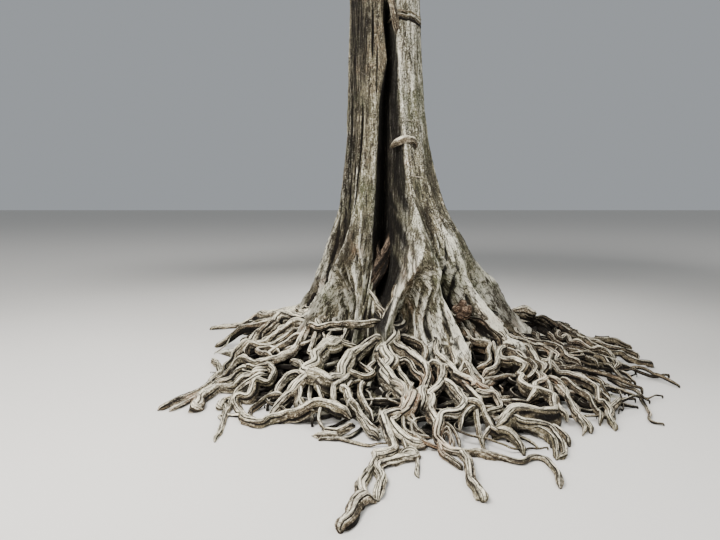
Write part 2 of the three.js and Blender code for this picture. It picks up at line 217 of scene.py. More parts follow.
class Tube:
    def __init__(self, path, radii, sides, up, tall=1.0, strands=3, crease=0.2, wedge=0.0, lean=0.0,
                 rough=0.003, seed=0, tint=0.5, plate=1.0):
        count = len(path)
        ahead = np.gradient(path, axis=0)
        ahead /= np.linalg.norm(ahead, axis=1)[:, None]
        ups = np.empty_like(path)
        up = np.asarray(up, float)
        for i in range(count):
            up = up + (0, 0, 0.06)
            up = up - ahead[i] * (up @ ahead[i])
            up /= np.linalg.norm(up)
            ups[i] = up
        side = np.cross(ahead, ups)
        run = runAlong(path)
        tilt = lean * softNoise(run * 1.1, seed * 0.7, 9, seed)[:, None]
        side, ups = side * np.cos(tilt) + ups * np.sin(tilt), ups * np.cos(tilt) - side * np.sin(tilt)
        along, around = np.meshgrid(run, np.arange(sides) * 2 * math.pi / sides, indexing="ij")
        ring, across = np.cos(around), np.sin(around)
        drift = tubeForm["drift"] * softNoise(run * 1.5, seed * 3.1, 0, seed)[:, None]
        swell = 1 + tubeForm["swell"] * softNoise(run * 4.5, seed * 1.7, 3, seed)[:, None]
        swell = swell + tubeForm["ripple"] * softNoise(run * 11, seed * 1.3, 4, seed)[:, None]
        strand = np.abs(np.cos(strands / 2 * around + drift + seed))
        creased = (1 - strand) ** 2.5 * (0.6 + 0.4 * softNoise(along * 3, around, 6, seed))
        oval = 1 + tubeForm["oval"] * np.cos(2 * around + 1.3 * drift)
        shape = oval * (1 - crease * creased)
        radius = radii[:, None] * swell * shape
        fine = softNoise(ring * 2.2, across * 2.2, along * 8, seed + 11)
        fine = fine + tubeForm["finer"] * softNoise(ring * 5, across * 5, along * 18, seed + 12)
        radius = radius + rough * fine * np.minimum(1, radii[:, None] / 0.03)
        narrow = 1 - wedge * across
        self.points = path[:, None] + side[:, None] * (ring * narrow * radius)[..., None]
        high = across * radius * tall * np.where(across < 0, plate, 1)
        self.points = self.points + ups[:, None] * high[..., None]
        below = self.points[..., 2] < 0  # what would lie under the ground is drawn in and laid flat
        inward = np.broadcast_to(path[:, None], self.points.shape) - self.points
        self.points[below] += tubeForm["drawnIn"] * inward[below] * (1, 1, 0)
        self.points[below, 2] = 0
        facing = ups[:, None, 2] * across + side[:, None, 2] * ring
        self.lifted = facing if plate == 1 else 0.4 * facing + 0.6 * across
        self.crease = np.clip(creased * crease * 4, 0, 1)
        self.count, self.sides, self.run, self.radii = count, sides, run, radii
        self.tint, self.plate = tint, plate
        tip = tubeForm["tip"]
        self.ends = np.stack([path[0] - ahead[0] * radii[0] * tip, path[-1] + ahead[-1] * radii[-1] * tip])

    # points, quads, triangles, grain map and per-point values, with point numbers starting from first
    def arrays(self, first=0):
        count, sides = self.count, self.sides
        number = np.arange(count * sides).reshape(count, sides) + first
        beside = np.roll(number, -1, axis=1)
        quads = np.stack([number[:-1], number[1:], beside[1:], beside[:-1]], -1).reshape(-1, 4)
        start, tip = first + count * sides, first + count * sides + 1
        cap = [np.stack([np.full(sides, start), number[0], beside[0]], -1),
               np.stack([beside[-1], number[-1], np.full(sides, tip)], -1)]
        girth = 2 * math.pi * float(self.radii.mean()) / sides
        column = np.arange(sides)[None, :] * girth
        grain = np.stack([np.stack(np.broadcast_arrays(u, v), -1) for u, v in (
            (column, self.run[:-1, None]), (column, self.run[1:, None]),
            (column + girth, self.run[1:, None]), (column + girth, self.run[:-1, None]))], 2)
        ends = np.zeros((2 * sides * 3, 2))
        grain = np.vstack([grain.reshape(-1, 2), ends])
        points = np.vstack([self.points.reshape(-1, 3), np.maximum(self.ends, (-99, -99, 0))])
        crease = np.concatenate([self.crease.ravel(), [0, 0]])
        lifted = np.concatenate([self.lifted.ravel(), [0, 0]])
        return points, quads, np.vstack(cap), grain, crease, lifted


def joinTubes(tubes):
    parts, first = [], 0
    for tube in tubes:
        parts.append(tube.arrays(first))
        first += len(parts[-1][0])
    points = np.vstack([p[0] for p in parts])
    quads = np.vstack([p[1] for p in parts])
    triangles = np.vstack([p[2] for p in parts])
    quadGrain = [p[3][:len(p[1]) * 4] for p in parts]
    endGrain = [p[3][len(p[1]) * 4:] for p in parts]
    grain = np.vstack(quadGrain + endGrain)
    crease = np.concatenate([p[4] for p in parts])
    lifted = np.concatenate([p[5] for p in parts])
    tint = np.concatenate([np.full(len(p[0]), tube.tint) for p, tube in zip(parts, tubes)])
    return points, quads, triangles, grain, crease, lifted, tint


# Trunk: the solids' own rule in metres
trunk = {
    "forkHeight": 4.95, "top": 5.21, "columns": 600, "rows": 162, "crowding": 1.5,
    "taperHeights": [0, 3.5, 4.45, 4.95, 5.21], "taperRadii": [0.34, 0.334, 0.33, 0.346, 0.21],
    "flareReach": 0.25, "flareDecay": 0.42, "skirtReach": 0.62, "skirtDecay": 0.11,
    "riseCurve": 1.45, "swingLow": 0.45, "swingHigh": 1.25, "fluteWidth": 15, "sharpness": 1.25,
}
# Bearing at the ground, bearing higher up, width in degrees, reach and rise. The last two are low swells
# between the crests, which the solids don't have.
buttresses = [
    (3, -8, 11, 1.04, 1.15), (-36, -41, 8, 1.0, 1.1), (-62, -69, 8, 0.86, 1.1), (-92, -73, 10, 0.86, 1.15),
    (-107, -118, 6, 0.5, 1.1), (-140, -119, 9, 0.72, 1.05), (-160, -162, 12, 0.15, 1.7),
    (178, 180, 12, 0.52, 1.0), (146, 150, 12, 0.78, 0.9), (110, 114, 12, 0.8, 1.1), (74, 78, 12, 0.8, 1.15),
    (38, 34, 12, 0.86, 1.15), (-20, -26, 10, 0.4, 1.1), (-74, -70, 9, 0.5, 0.75),
]
cleft = {
    "heights": [0.52, 0.66, 0.82, 1.0, 1.25, 1.65, 2.5, 2.86, 3.22, 3.5],
    "turns": [-95, -94, -93, -92, -90, -86, -85, -79, -84, -86],
    "halfWidths": [3, 4.5, 7.5, 11, 13.5, 15.5, 14, 8, 10, 7],
    "depths": [0, 0.4, 0.62, 0.74, 0.79, 0.8, 0.78, 0.7, 0.74, 0],
}
ribs = {  # lesser ridges all round the foot
    "count": 46, "seed": 19, "turns": (0, 360), "aside": 13, "gather": 0, "tops": (0.7, 2.3),
    "widths": (1.4, 2.8), "reaches": (0.05, 0.13), "wander": 1.8, "bends": 2.4, "layer": 0, "noise": 21,
    "fadeFrom": 0.35, "lessInFront": 0.45, "power": 1.3,
}
fineRibs = {  # thin ones at the front
    "count": 84, "seed": 23, "turns": (-162, 8), "aside": 5, "gather": 0.06, "tops": (0.8, 1.9),
    "widths": (0.55, 0.9), "reaches": (0.01, 0.026), "wander": 1.2, "bends": 3, "layer": 7, "noise": 22,
    "fadeFrom": 0.5, "lessInFront": 0, "power": 2,
}
creaseWaves = [  # waves round the trunk and up it, depth, noise seed, shear
    (8, 0.7, 0.075, 4, 0.2), (15, 1.0, 0.05, 5, -0.15), (28, 1.6, 0.028, 15, 0.1),
]
grooves = [  # bearing, depth, width, from and to
    (-154, 0.04, 2.0, 1.8, 3.3), (-129, 0.065, 2.2, 1.15, 2.6), (-113, 0.06, 2.0, 2.75, 3.45),
    (-140, 0.035, 1.6, 2.3, 3.7), (-104, 0.02, 1.4, 2.3, 3.2), (-121, 0.02, 1.3, 1.2, 2.2),
    (-168, 0.03, 2.0, 1.9, 4.2), (-150, 0.02, 1.5, 3.2, 4.6), (-25, 0.015, 1.5, 1.2, 2.9),
    (165, 0.03, 2.6, 1.3, 4.8), (120, 0.03, 2.4, 1.3, 4.8), (70, 0.03, 2.6, 1.3, 4.8),
]
grooveForm = {"wander": 2.5, "fade": 0.35}
crests = {"wide": 0.6, "wander": 0.8, "web": 0.07, "webReach": 0.16, "power": 1.6}
knot = {"turn": -114.7, "height": 2.65, "size": 0.03, "wide": 5, "tall": 0.035}


def trunkRadius(turn, height):
    low = smoothStep(trunk["swingLow"], trunk["swingHigh"], height)
    out = np.interp(height, trunk["taperHeights"], trunk["taperRadii"])
    out = out + trunk["flareReach"] * np.exp(-height / trunk["flareDecay"])
    out = out + trunk["skirtReach"] * np.exp(-height / trunk["skirtDecay"])
    for foot, top, width, reach, rise in buttresses:
        spread = width + (trunk["fluteWidth"] - width) * low
        ridge = nearTurn(turn, foot + (top - foot) * low, spread, trunk["sharpness"])
        out = out + reach * np.exp(-(height / rise) ** trunk["riseCurve"]) * ridge
    middle = np.interp(height, cleft["heights"], cleft["turns"])
    opened = nearTurn(turn, middle, np.interp(height, cleft["heights"], cleft["halfWidths"]), 5)
    return out * (1 - opened * np.interp(height, cleft["heights"], cleft["depths"])), opened


# The crests and roots that the photo shows, strand by strand: thick and thin in cm, how far its side goes
# down as a plate, and its stations in cm
strandRows = {
    "trunk": [
        (5.6, 6.3, 1.2, "-22 -43 167, -32 -59 118, -40 -60 99, -51 -53 81, -56 -47 65, -60 -46 56, "
         "-64 -69 48"),
        (3.6, 4.4, 1.2, "-30 -62 105, -28 -64 80, -22 -77 54"),
        (3.2, 3.5, 1.2, "-19 -60 79, -12 -61 68, -8 -76 63, -3 -87 60"),
        (1.8, 1.4, 1, "-19 -67 65, -17 -67 60, -14 -70 54, -10 -77 53"),
        (1.8, 1.4, 1, "-11 -60 66, -6 -88 55"),
        (3.6, 3.3, 1, "23 -55 166, 21 -65 128, 19 -66 115, 10 -77 86, 5 -94 68, 1 -98 58, -3 -108 49"),
        (1.9, 1.7, 1, "9 -79 84, 4 -88 72, -1 -88 64, -5 -91 57, -6 -99 51, -4 -108 49"),
        (3.6, 3.6, 1.2, "24 -65 134, 27 -76 114, 33 -83 101, 40 -79 89, 45 -82 74, 48 -91 53, 54 -103 36, "
         "54 -113 31, 54 -133 26"),
        (2.2, 2.3, 1, "49 -90 57, 46 -95 39, 39 -128 30, 42 -138 27, 54 -144 25"),
        (1.7, 1.6, 1, "42 -84 55, 41 -90 41, 40 -125 30"),
        (2.8, 2.6, 1, "51 -53 74, 55 -53 64, 62 -57 51, 67 -65 43, 72 -84 37, 75 -88 35"),
        (1.9, 1.8, 1, "55 -54 64, 65 -57 60"),
        (3, 2.6, 1.2, "54 -10 160, 54 -49 124, 60 -51 114, 63 -54 88, 77 -59 73, 94 -69 48, 112 -55 37, "
         "113 -58 33, 106 -78 34, 108 -80 31, 109 -85 28"),
        (2.8, 2.8, 1, "43 -40 153, 45 -54 128, 49 -59 111, 56 -54 95"),
        (3, 3.1, 1.2, "61 -10 146, 73 -11 120, 82 -10 104, 90 -7 92, 97 -3 75, 98 -3 67, 118 4 49"),
        (3, 3.2, 1.2, "82 -10 105, 114 2 66, 123 6 51, 134 7 38, 157 23 24, 163 21 21"),
        (2.3, 2.9, 1.2, "66 -55 92, 73 -57 81, 84 -49 71, 94 -42 66, 100 -37 60"),
        (4.1, 3.1, 1.2, "-67 1 89, -76 2 64, -83 3 54"),
        (2.3, 2.9, 1, "-50 -60 76, -65 -48 61, -72 -42 56"),
        (2.7, 3.7, 1, "-34 -60 85, -37 -56 75, -47 -59 64"),
    ],
    "knobs": [
        (4.6, 3.7, 1, "-43 -61 69, -52 -66 59"),
        (6.2, 4.1, 1, "-78 1 53, -86 5 47, -91 -6 45"),
        (3.6, 3.1, 1, "-85 3 53, -93 3 48"),
        (6.3, 5.2, 1, "136 7 49, 145 8 45, 163 9 42"),
        (5.1, 4.1, 1, "104 -3 48, 118 0 43"),
        (3.2, 3.5, 4, "-19 -60 80, -16 -62 75, -10 -66 68, -7 -76 63, -3 -87 60, 0 -93 50"),
        (2.2, 1.8, 3, "-20 -64 68, -17 -67 60, -14 -71 54, -10 -78 50, -8 -84 45"),
        (2.2, 1.8, 3, "-15 -60 71, -11 -63 66, -8 -76 60, -6 -88 55, -5 -93 47"),
        (2.4, 2.6, 1.6, "11 -77 88, 8 -81 81, 4 -88 72, -1 -89 64, -5 -93 57, -6 -100 51, -3 -108 47"),
    ],
    "front_knee": [
        (10.9, 7.4, 1.3, "11 -65 55, 6 -88 43, -1 -111 35, -4 -131 29, -2 -145 25, 9 -177 18, 10 -190 16, "
         "6 -199 13, 2 -200 12"),
        (5, 4.4, 1.3, "6 -199 15, -6 -202 13, -10 -205 11, -5 -225 4, -6 -234 1, -10 -238 1, -15 -237 1, "
         "-17 -243 0, -22 -283 0, -19 -288 0"),
        (6.6, 5.6, 1.2, "-16 -289 0, -21 -291 0, -33 -316 0"),
        (4.1, 3.1, 1.2, "-5 -120 34, -7 -134 29, -3 -148 26, 7 -175 20, 6 -189 17, 4 -200 14, -2 -205 11, "
         "-3 -211 9, 7 -223 5, 14 -227 4, 19 -223 6"),
        (4.2, 4.4, 1.2, "1 -240 1, 2 -236 1, 6 -234 2, 9 -237 1, 8 -241 1, -10 -249 0, -15 -288 0"),
        (2.1, 2.2, 1.2, "9 -237 1, 9 -263 0"),
        (2, 1.9, 1, "4 -200 14, 6 -217 7, 12 -220 6, 22 -222 6"),
        (1.9, 1.8, 1, "2 -216 7, 5 -224 4, 6 -234 2"),
        (2.4, 1.9, 1, "7 -192 16, 9 -210 10, 13 -217 8, 20 -222 6"),
    ],
    "front_inner": [
        (7.7, 5.4, 1.3, "3 -97 40, 7 -113 35, 13 -120 32, 17 -130 29, 22 -141 26, 25 -154 23, 25 -170 19, "
         "18 -194 15"),
        (3.9, 2.9, 1.3, "4 -95 43, 9 -107 38, 15 -113 36, 26 -137 28, 28 -147 25, 29 -175 19"),
        (4.9, 3.4, 1.3, "3 -120 33, 7 -131 29, 12 -134 29, 17 -140 27, 20 -149 24, 22 -159 22, 19 -175 19, "
         "24 -197 15"),
        (3.2, 2.7, 1, "2 -128 31, 10 -159 23, 12 -176 19, 12 -192 16"),
        (4.3, 3.2, 1, "3 -99 41, 11 -97 42, 28 -106 37, 30 -111 36, 27 -132 30"),
        (2.6, 2.6, 1, "15 -159 23, 12 -198 14, 13 -211 10"),
    ],
    "front_snake": [
        (4.4, 4.4, 1.2, "40 -78 73, 43 -87 46, 41 -102 36, 41 -125 29, 44 -138 26, 49 -147 23, 53 -153 22, "
         "58 -155 21, 63 -163 19"),
        (6.3, 4.4, 1.4, "30 -135 28, 36 -133 28, 38 -143 26, 36 -158 23, 25 -185 18, 25 -197 16, 27 -209 11, "
         "26 -223 6"),
        (4.8, 4, 1.4, "36 -159 22, 43 -166 21, 46 -175 19, 46 -187 17, 42 -196 15, 29 -208 12, 25 -221 7, "
         "35 -234 3, 41 -235 3"),
        (4.9, 4.6, 1.5, "38 -233 2, 39 -237 0, 39 -264 0, 37 -277 0, 40 -292 0"),
        (2.8, 2.6, 1.2, "24 -223 6, 26 -236 2, 35 -256 0"),
        (1.4, 1.4, 1, "28 -214 10, 32 -211 11, 36 -215 9, 38 -222 7, 38 -231 4"),
        (1.4, 1.4, 1, "29 -216 9, 32 -214 10, 34 -218 8, 34 -232 3"),
        (1.4, 1.4, 1, "29 -220 8, 32 -217 8, 32 -230 4"),
    ],
    "front_right_long": [
        (2.8, 2.9, 1.2, "33 -230 4, 37 -234 3, 50 -235 3, 68 -245 1, 76 -241 1, 83 -241 1, 88 -247 1, "
         "84 -275 0"),
    ],
    "right_plank": [
        (4.6, 3.2, 5, "59 -55 57, 67 -65 44, 72 -84 37, 87 -85 33, 87 -95 31, 79 -121 27, 73 -134 25"),
        (4.3, 2.9, 2, "73 -91 34, 61 -124 28, 60 -134 26, 64 -156 21, 69 -163 19, 74 -165 18"),
        (2.6, 2.3, 1.5, "60 -167 19, 64 -174 17, 72 -173 17, 74 -181 16, 72 -190 15, 59 -199 13, 54 -201 13"),
        (3.2, 2.9, 1.5, "47 -172 19, 48 -182 17, 59 -194 15, 62 -213 9, 67 -215 8"),
        (2.7, 2.3, 1.2, "56 -193 16, 49 -197 15, 43 -206 12, 41 -215 9"),
        (2.4, 1.8, 1, "56 -195 15, 52 -232 3"),
        (4.5, 4.3, 2, "62 -213 8, 67 -215 7, 75 -226 4, 76 -235 1"),
        (3.1, 3, 1.5, "54 -142 24, 61 -141 24, 66 -148 22, 68 -160 20"),
    ],
    "right_ribbon": [
        (4.6, 5.8, 3.5, "77 -63 54, 97 -73 41, 102 -78 31, 94 -103 28, 93 -114 26, 98 -115 25, 104 -113 25, "
         "108 -119 23, 108 -125 22, 102 -139 20, 99 -153 19, 101 -160 17, 108 -163 16, 117 -175 13, "
         "112 -185 11, 103 -196 10, 88 -196 12, 80 -199 12, 73 -204 12, 68 -213 9"),
        (3.6, 3.1, 2, "95 -76 32, 87 -124 24, 72 -139 23"),
        (2.7, 2.7, 1.2, "95 -71 43, 100 -74 41, 104 -77 37, 105 -80 30"),
        (4, 3, 2.5, "76 -201 12, 82 -204 10, 98 -206 7, 103 -214 4, 102 -225 2, 95 -243 0"),
        (3, 2.5, 2.5, "99 -205 7, 106 -206 6, 111 -213 3, 109 -224 1"),
        (3, 2.4, 2.5, "89 -207 8, 99 -219 4, 98 -229 2, 94 -242 0"),
    ],
    "right_one": [
        (6.2, 4.3, 2.5, "103 -81 30, 107 -86 28, 118 -77 28, 124 -83 25, 126 -99 23, 125 -116 21, "
         "122 -130 19, 101 -173 16"),
        (4.4, 3.1, 2, "101 -88 29, 107 -93 27, 109 -100 26, 114 -106 24, 116 -114 22, 116 -123 21, "
         "111 -135 20, 105 -143 19"),
        (2.6, 2.3, 1.5, "109 -90 28, 115 -96 26, 117 -105 24, 117 -130 20, 115 -146 18"),
        (3.2, 2.7, 1.5, "120 -130 19, 122 -143 17, 117 -175 13, 117 -186 10, 120 -194 7"),
    ],
    "right_low": [
        (5.1, 3.4, 2, "129 -102 21, 137 -107 19, 140 -115 18, 142 -126 16, 152 -141 14, 155 -150 12, "
         "157 -171 6, 152 -181 4, 151 -200 0"),
        (3.6, 3, 2, "123 -131 18, 129 -141 16, 130 -151 15, 128 -169 12, 132 -204 2"),
        (2.8, 2.4, 1.5, "135 -132 17, 144 -158 12, 145 -170 9, 146 -180 6, 143 -190 3"),
        (2.7, 2.3, 1.5, "126 -148 16, 128 -164 13, 128 -193 6, 124 -207 3"),
        (3.3, 2.6, 1.2, "144 -122 17, 153 -127 15, 158 -139 14, 163 -161 8"),
        (3.6, 3, 1.2, "152 -178 5, 172 -157 7"),
    ],
    "right_long": [
        (4.7, 4.2, 1.5, "112 -52 32, 117 -66 29, 127 -63 27, 133 -65 25, 141 -61 24, 147 -64 23, 151 -72 21, "
         "148 -97 19, 149 -107 18"),
        (3.6, 3.2, 1.5, "149 -76 21, 128 -124 19"),
        (3.6, 3.1, 1.5, "133 -11 29, 132 -35 28, 135 -47 27, 139 -54 25, 160 -52 21, 160 -71 19, 161 -84 18, "
         "171 -88 16"),
        (3.2, 3.5, 1.2, "156 -63 21, 175 -43 18, 185 -47 16, 197 -72 14, 200 -90 12"),
    ],
    "right_edge": [
        (4.2, 4.4, 1.5, "157 8 40, 175 22 24, 187 30 19, 188 20 19, 177 -9 19, 188 -3 17, 189 -17 17, "
         "198 -31 15, 212 -34 13, 212 -57 13, 201 -92 12"),
        (3.7, 3.9, 1.2, "162 8 40, 208 39 14, 209 12 14, 222 1 12, 229 -18 11, 242 -26 8, 251 -35 5"),
        (3.5, 3.3, 1.2, "201 70 13, 220 74 10, 217 32 12, 210 -17 14, 213 -41 13, 232 -34 10, 240 -52 7, "
         "256 -50 3"),
        (3.4, 2.7, 1.2, "163 46 20, 163 21 21, 175 32 20, 169 -21 20, 188 -83 14"),
        (3.7, 3.3, 1.2, "161 15 23, 145 -56 23"),
    ],
    "left_cross": [
        (4.1, 3.2, 1.2, "-39 -162 21, -35 -169 20, -33 -180 18, -26 -195 13, -12 -217 6"),
        (1.8, 1.6, 1, "-33 -171 21, -31 -182 18, -17 -207 10, -11 -214 7"),
        (3.4, 2.3, 1.2, "-22 -159 22, -23 -178 19, -15 -201 12"),
        (2.3, 2.2, 1, "-29 -155 23, -35 -169 20"),
    ],
    "left_hook": [
        (7.5, 7.8, 1.5, "-4 -110 44, -6 -107 41, -15 -106 37, -24 -113 34, -30 -120 31, -33 -132 28, "
         "-37 -142 25, -50 -161 20, -55 -157 21, -58 -148 22, -58 -138 24"),
        (3.1, 2.8, 1.3, "-30 -147 25, -36 -152 23, -41 -160 21, -42 -171 19, -42 -185 14"),
        (4, 3.1, 1.2, "-11 -128 30, -18 -139 27, -14 -148 25, -21 -151 24, -33 -141 26"),
        (2.6, 2.4, 1.2, "-36 -166 20, -32 -176 19, -31 -184 16, -34 -190 13"),
        (2.6, 2.4, 1.2, "-57 -161 20, -52 -175 16, -44 -183 14, -36 -187 14"),
    ],
    "left_broad": [
        (10.3, 4.3, 1.4, "-38 -93 39, -55 -117 30, -67 -151 21, -75 -162 15, -81 -166 11, -88 -181 3"),
        (3.7, 2.8, 1.2, "-68 -158 19, -71 -181 8"),
        (2.9, 2.4, 1.2, "-69 -169 14, -64 -178 11, -59 -184 10, -53 -186 11"),
        (3.1, 3, 1.2, "-67 -142 23, -73 -140 23, -80 -143 21, -86 -149 17, -88 -157 13"),
        (3, 2.4, 1.2, "-82 -160 14, -100 -158 6, -104 -163 3, -102 -177 0, -98 -186 0"),
    ],
    "left_loop": [
        (4.1, 4.8, 1.3, "-99 -121 23, -94 -129 22, -92 -139 20, -93 -142 18, -105 -133 15, -108 -135 12, "
         "-106 -145 10, -109 -148 7, -117 -145 4, -119 -150 2, -115 -164 1, -108 -179 0, -101 -187 0, "
         "-94 -191 0, -87 -187 2, -50 -184 14, -31 -195 12"),
        (3, 2.8, 1.2, "-121 -101 17, -112 -114 19, -98 -121 24, -93 -129 23"),
        (2.7, 2.7, 1, "-49 -200 5, -42 -205 4, -34 -206 6, -28 -203 8"),
        (2, 2, 1, "-56 -206 2, -45 -210 2, -36 -210 4"),
        (2.5, 2, 1.2, "-50 -183 13, -51 -193 8, -48 -205 4"),
    ],
    "left_mass": [
        (7.3, 6.6, 1.6, "-103 -121 20, -115 -117 13, -125 -119 6, -137 -120 0, -144 -134 0, -149 -151 0, "
         "-147 -167 0"),
        (4.8, 4.4, 1.4, "-102 -126 18, -118 -130 7, -125 -137 1, -129 -151 0, -130 -163 0"),
        (3.4, 3, 1.2, "-120 -103 17, -134 -96 7, -145 -101 1, -156 -144 0, -161 -157 0, -168 -165 0"),
        (3.1, 2.3, 1.2, "-128 -149 0, -120 -180 0, -118 -216 0"),
        (3.2, 2.9, 1.2, "-119 -136 5, -123 -147 1, -123 -175 0"),
    ],
    "left_top": [
        (3.4, 3.7, 1.3, "-5 -95 57, -14 -97 54, -26 -98 52, -36 -86 50, -56 -75 46, -68 -65 44, -73 -65 42, "
         "-82 -100 31, -89 -113 27, -95 -117 25, -107 -110 23, -126 -85 19, -134 -79 14, -143 -82 4, "
         "-150 -92 0, -155 -117 0, -175 -163 0"),
        (4, 3.3, 1.3, "-65 -73 41, -64 -109 31, -60 -121 29"),
        (3.1, 2.9, 1.2, "-58 -76 42, -55 -90 38, -56 -112 31"),
        (3.5, 3.4, 1.2, "-35 -78 46, -37 -97 39, -33 -103 37, -27 -107 36"),
        (2.7, 2.6, 1.2, "-51 -79 43, -52 -84 41, -40 -100 37"),
        (3.1, 3, 1.2, "-72 -73 39, -83 -75 36, -92 -82 32, -106 -102 25"),
        (3.3, 3.1, 1.2, "-81 -117 27, -69 -132 25, -65 -140 24"),
    ],
    "left_back": [
        (8.7, 4.6, 1.5, "-64 -38 51, -76 -31 47, -96 -15 43, -106 -8 37, -110 -24 35, -125 -41 29, "
         "-128 -48 26, -132 -54 20, -140 -53 13, -146 -54 7, -151 -64 2"),
        (4.2, 3.6, 1.3, "-66 -56 46, -84 -47 42, -92 -49 39, -115 -67 29, -122 -70 25"),
        (3.7, 3.2, 1.2, "-69 -56 44, -81 -60 40, -87 -68 36, -96 -75 32, -107 -77 29, -120 -69 27, "
         "-128 -63 23, -129 -71 19"),
        (2.6, 2.5, 1, "-93 -95 29, -106 -83 29, -113 -82 27, -113 -89 26, -106 -99 26, -97 -105 27"),
        (4.4, 3.8, 1.2, "-169 -32 0, -162 -47 0, -156 -53 1, -151 -70 1, -153 -107 0"),
    ],
}


def strandStations(spots):
    return np.array([[float(n) for n in spot.split()] for spot in spots.split(",")]) / 100


# Bearing of a buttress's crest at a height
def crestTurn(foot, top, height):
    return foot + (top - foot) * smoothStep(trunk["swingLow"], trunk["swingHigh"], height)


# Adds ridges that end between two heights, each a little aside of its foot
def addRibs(relief, turn, height, front, look):
    random = SeededRandom(look["seed"])
    first, last = look["turns"]
    for i in range(look["count"]):
        low = first + (last - first) * (i + 0.8 * random()) / look["count"]
        high = low + random.between(-look["aside"], look["aside"]) - look["gather"] * (low + 80)
        top, width, reach = (random.between(*look[key]) for key in ("tops", "widths", "reaches"))
        wander = look["wander"] * softNoise(height * look["bends"], i, look["layer"], look["noise"])
        path = low + (high - low) * np.clip(height / top, 0, 1) + wander
        fade = 1 - smoothStep(look["fadeFrom"] * top, top, height)
        ridge = nearTurn(turn, path, width, look["power"])
        relief = relief + reach * (1 - look["lessInFront"] * front) * fade * ridge
    return relief


# Adds the crests that run down into the roots, and sinks the webs between them
def addCrests(relief, turn, height, front):
    nearest = np.full(turn.shape, crests["webReach"])
    for i, (thick, _, _, spots) in enumerate(strandRows["trunk"]):
        x, y, z = strandStations(spots)[::-1].T
        heights = np.maximum.accumulate(z)
        path = np.interp(height, heights, np.degrees(np.arctan2(y, x)))
        path = path + crests["wander"] * softNoise(height * 5, i, 4, 23)
        out = np.interp(height, heights, np.hypot(x, y))
        width = np.degrees(crests["wide"] * 0.01 * thick / out)
        fade = smoothStep(heights[0] - 0.1, heights[0], height)
        fade = fade * (1 - smoothStep(heights[-1] - 0.3, heights[-1], height))
        away = turnBetween(turn, path)
        nearest = np.minimum(nearest, np.radians(away) * out + crests["webReach"] * (1 - fade))
        relief = relief + 0.01 * thick * fade * np.exp(-(away / width) ** crests["power"])
    webbed = smoothStep(0.02, crests["webReach"], nearest) * front * (1 - smoothStep(0.9, 1.5, height))
    fuller = 1 - 0.8 * nearTurn(turn, -128, 26, 4) - 0.9 * nearTurn(turn, -20, 15, 4)  # at the outer feet
    return relief - crests["web"] * (webbed * fuller)


def addGrooves(relief, turn, height):
    fissure = np.zeros(turn.shape)
    for grooveTurn, depth, width, start, stop in grooves:
        wander = grooveTurn + grooveForm["wander"] * softNoise(height * 1.3, grooveTurn, 0, 8)
        opening = smoothStep(start, start + grooveForm["fade"], height)
        opening = opening * (1 - smoothStep(stop - grooveForm["fade"], stop, height))
        opening = opening * (0.6 + 0.4 * smoothStep(-0.5, 0.3, softNoise(height * 2.5, grooveTurn, 5, 9)))
        gash = depth * opening * nearTurn(turn, wander, width)
        fissure = np.maximum(fissure, gash)
        relief = relief - gash
    return relief, fissure


def trunkRelief(turn, height):
    angle = np.radians(turn)

    def wave(k, rise, seed, shear=0.0):
        bent = angle + shear * height
        return softNoise(np.cos(bent) * k, np.sin(bent) * k, height * rise, seed)

    front = nearTurn(turn, -72, 72, 4)
    foot = np.exp(-height / 0.9) * (1 - 0.75 * front)
    rightStem = nearTurn(turn, -46, 38, 4) * smoothStep(1.7, 2.3, height)
    relief = 0.02 * (0.6 + 1.6 * foot) * wave(5, 0.6, 3, 0.12)
    for k, rise, size, seed, shear in creaseWaves:
        creased = np.abs(wave(k, rise, seed, shear)) ** 0.6
        relief = relief + size * (1.6 * creased - 1) * (0.13 + 1.0 * foot)
    relief = relief * (1 - 0.75 * rightStem)
    relief = relief + (0.005 * wave(34, 7, 6) + 0.004 * wave(60, 20, 7)) * (1 - 0.3 * rightStem)
    relief = addRibs(relief, turn, height, front, ribs)
    relief = addRibs(relief, turn, height, front, fineRibs)
    relief = addCrests(relief, turn, height, front)
    relief, fissure = addGrooves(relief, turn, height)
    aside, above = turnBetween(turn, knot["turn"]) / knot["wide"], (height - knot["height"]) / knot["tall"]
    relief = relief + knot["size"] * np.exp(-(aside ** 2 + above ** 2))
    return relief * smoothStep(0, 0.06, height), rightStem, fissure


# Where the bark is darkened with painted shade, paler on its crests (partly wear, partly painted highlight),
# pale and spotted with lichen
lichens = [  # bearing, height, width in degrees, height of the spot
    (-12, 0.87, 4, 0.07), (-82, 0.68, 4, 0.16), (-66, 0.88, 3, 0.08), (-128, 0.66, 4, 0.08),
]
litFaces = [(-128, 15, 1), (-78, 14, 0.8), (-13, 17, 1.4)]  # broad faces low down: bearing, width, how lit


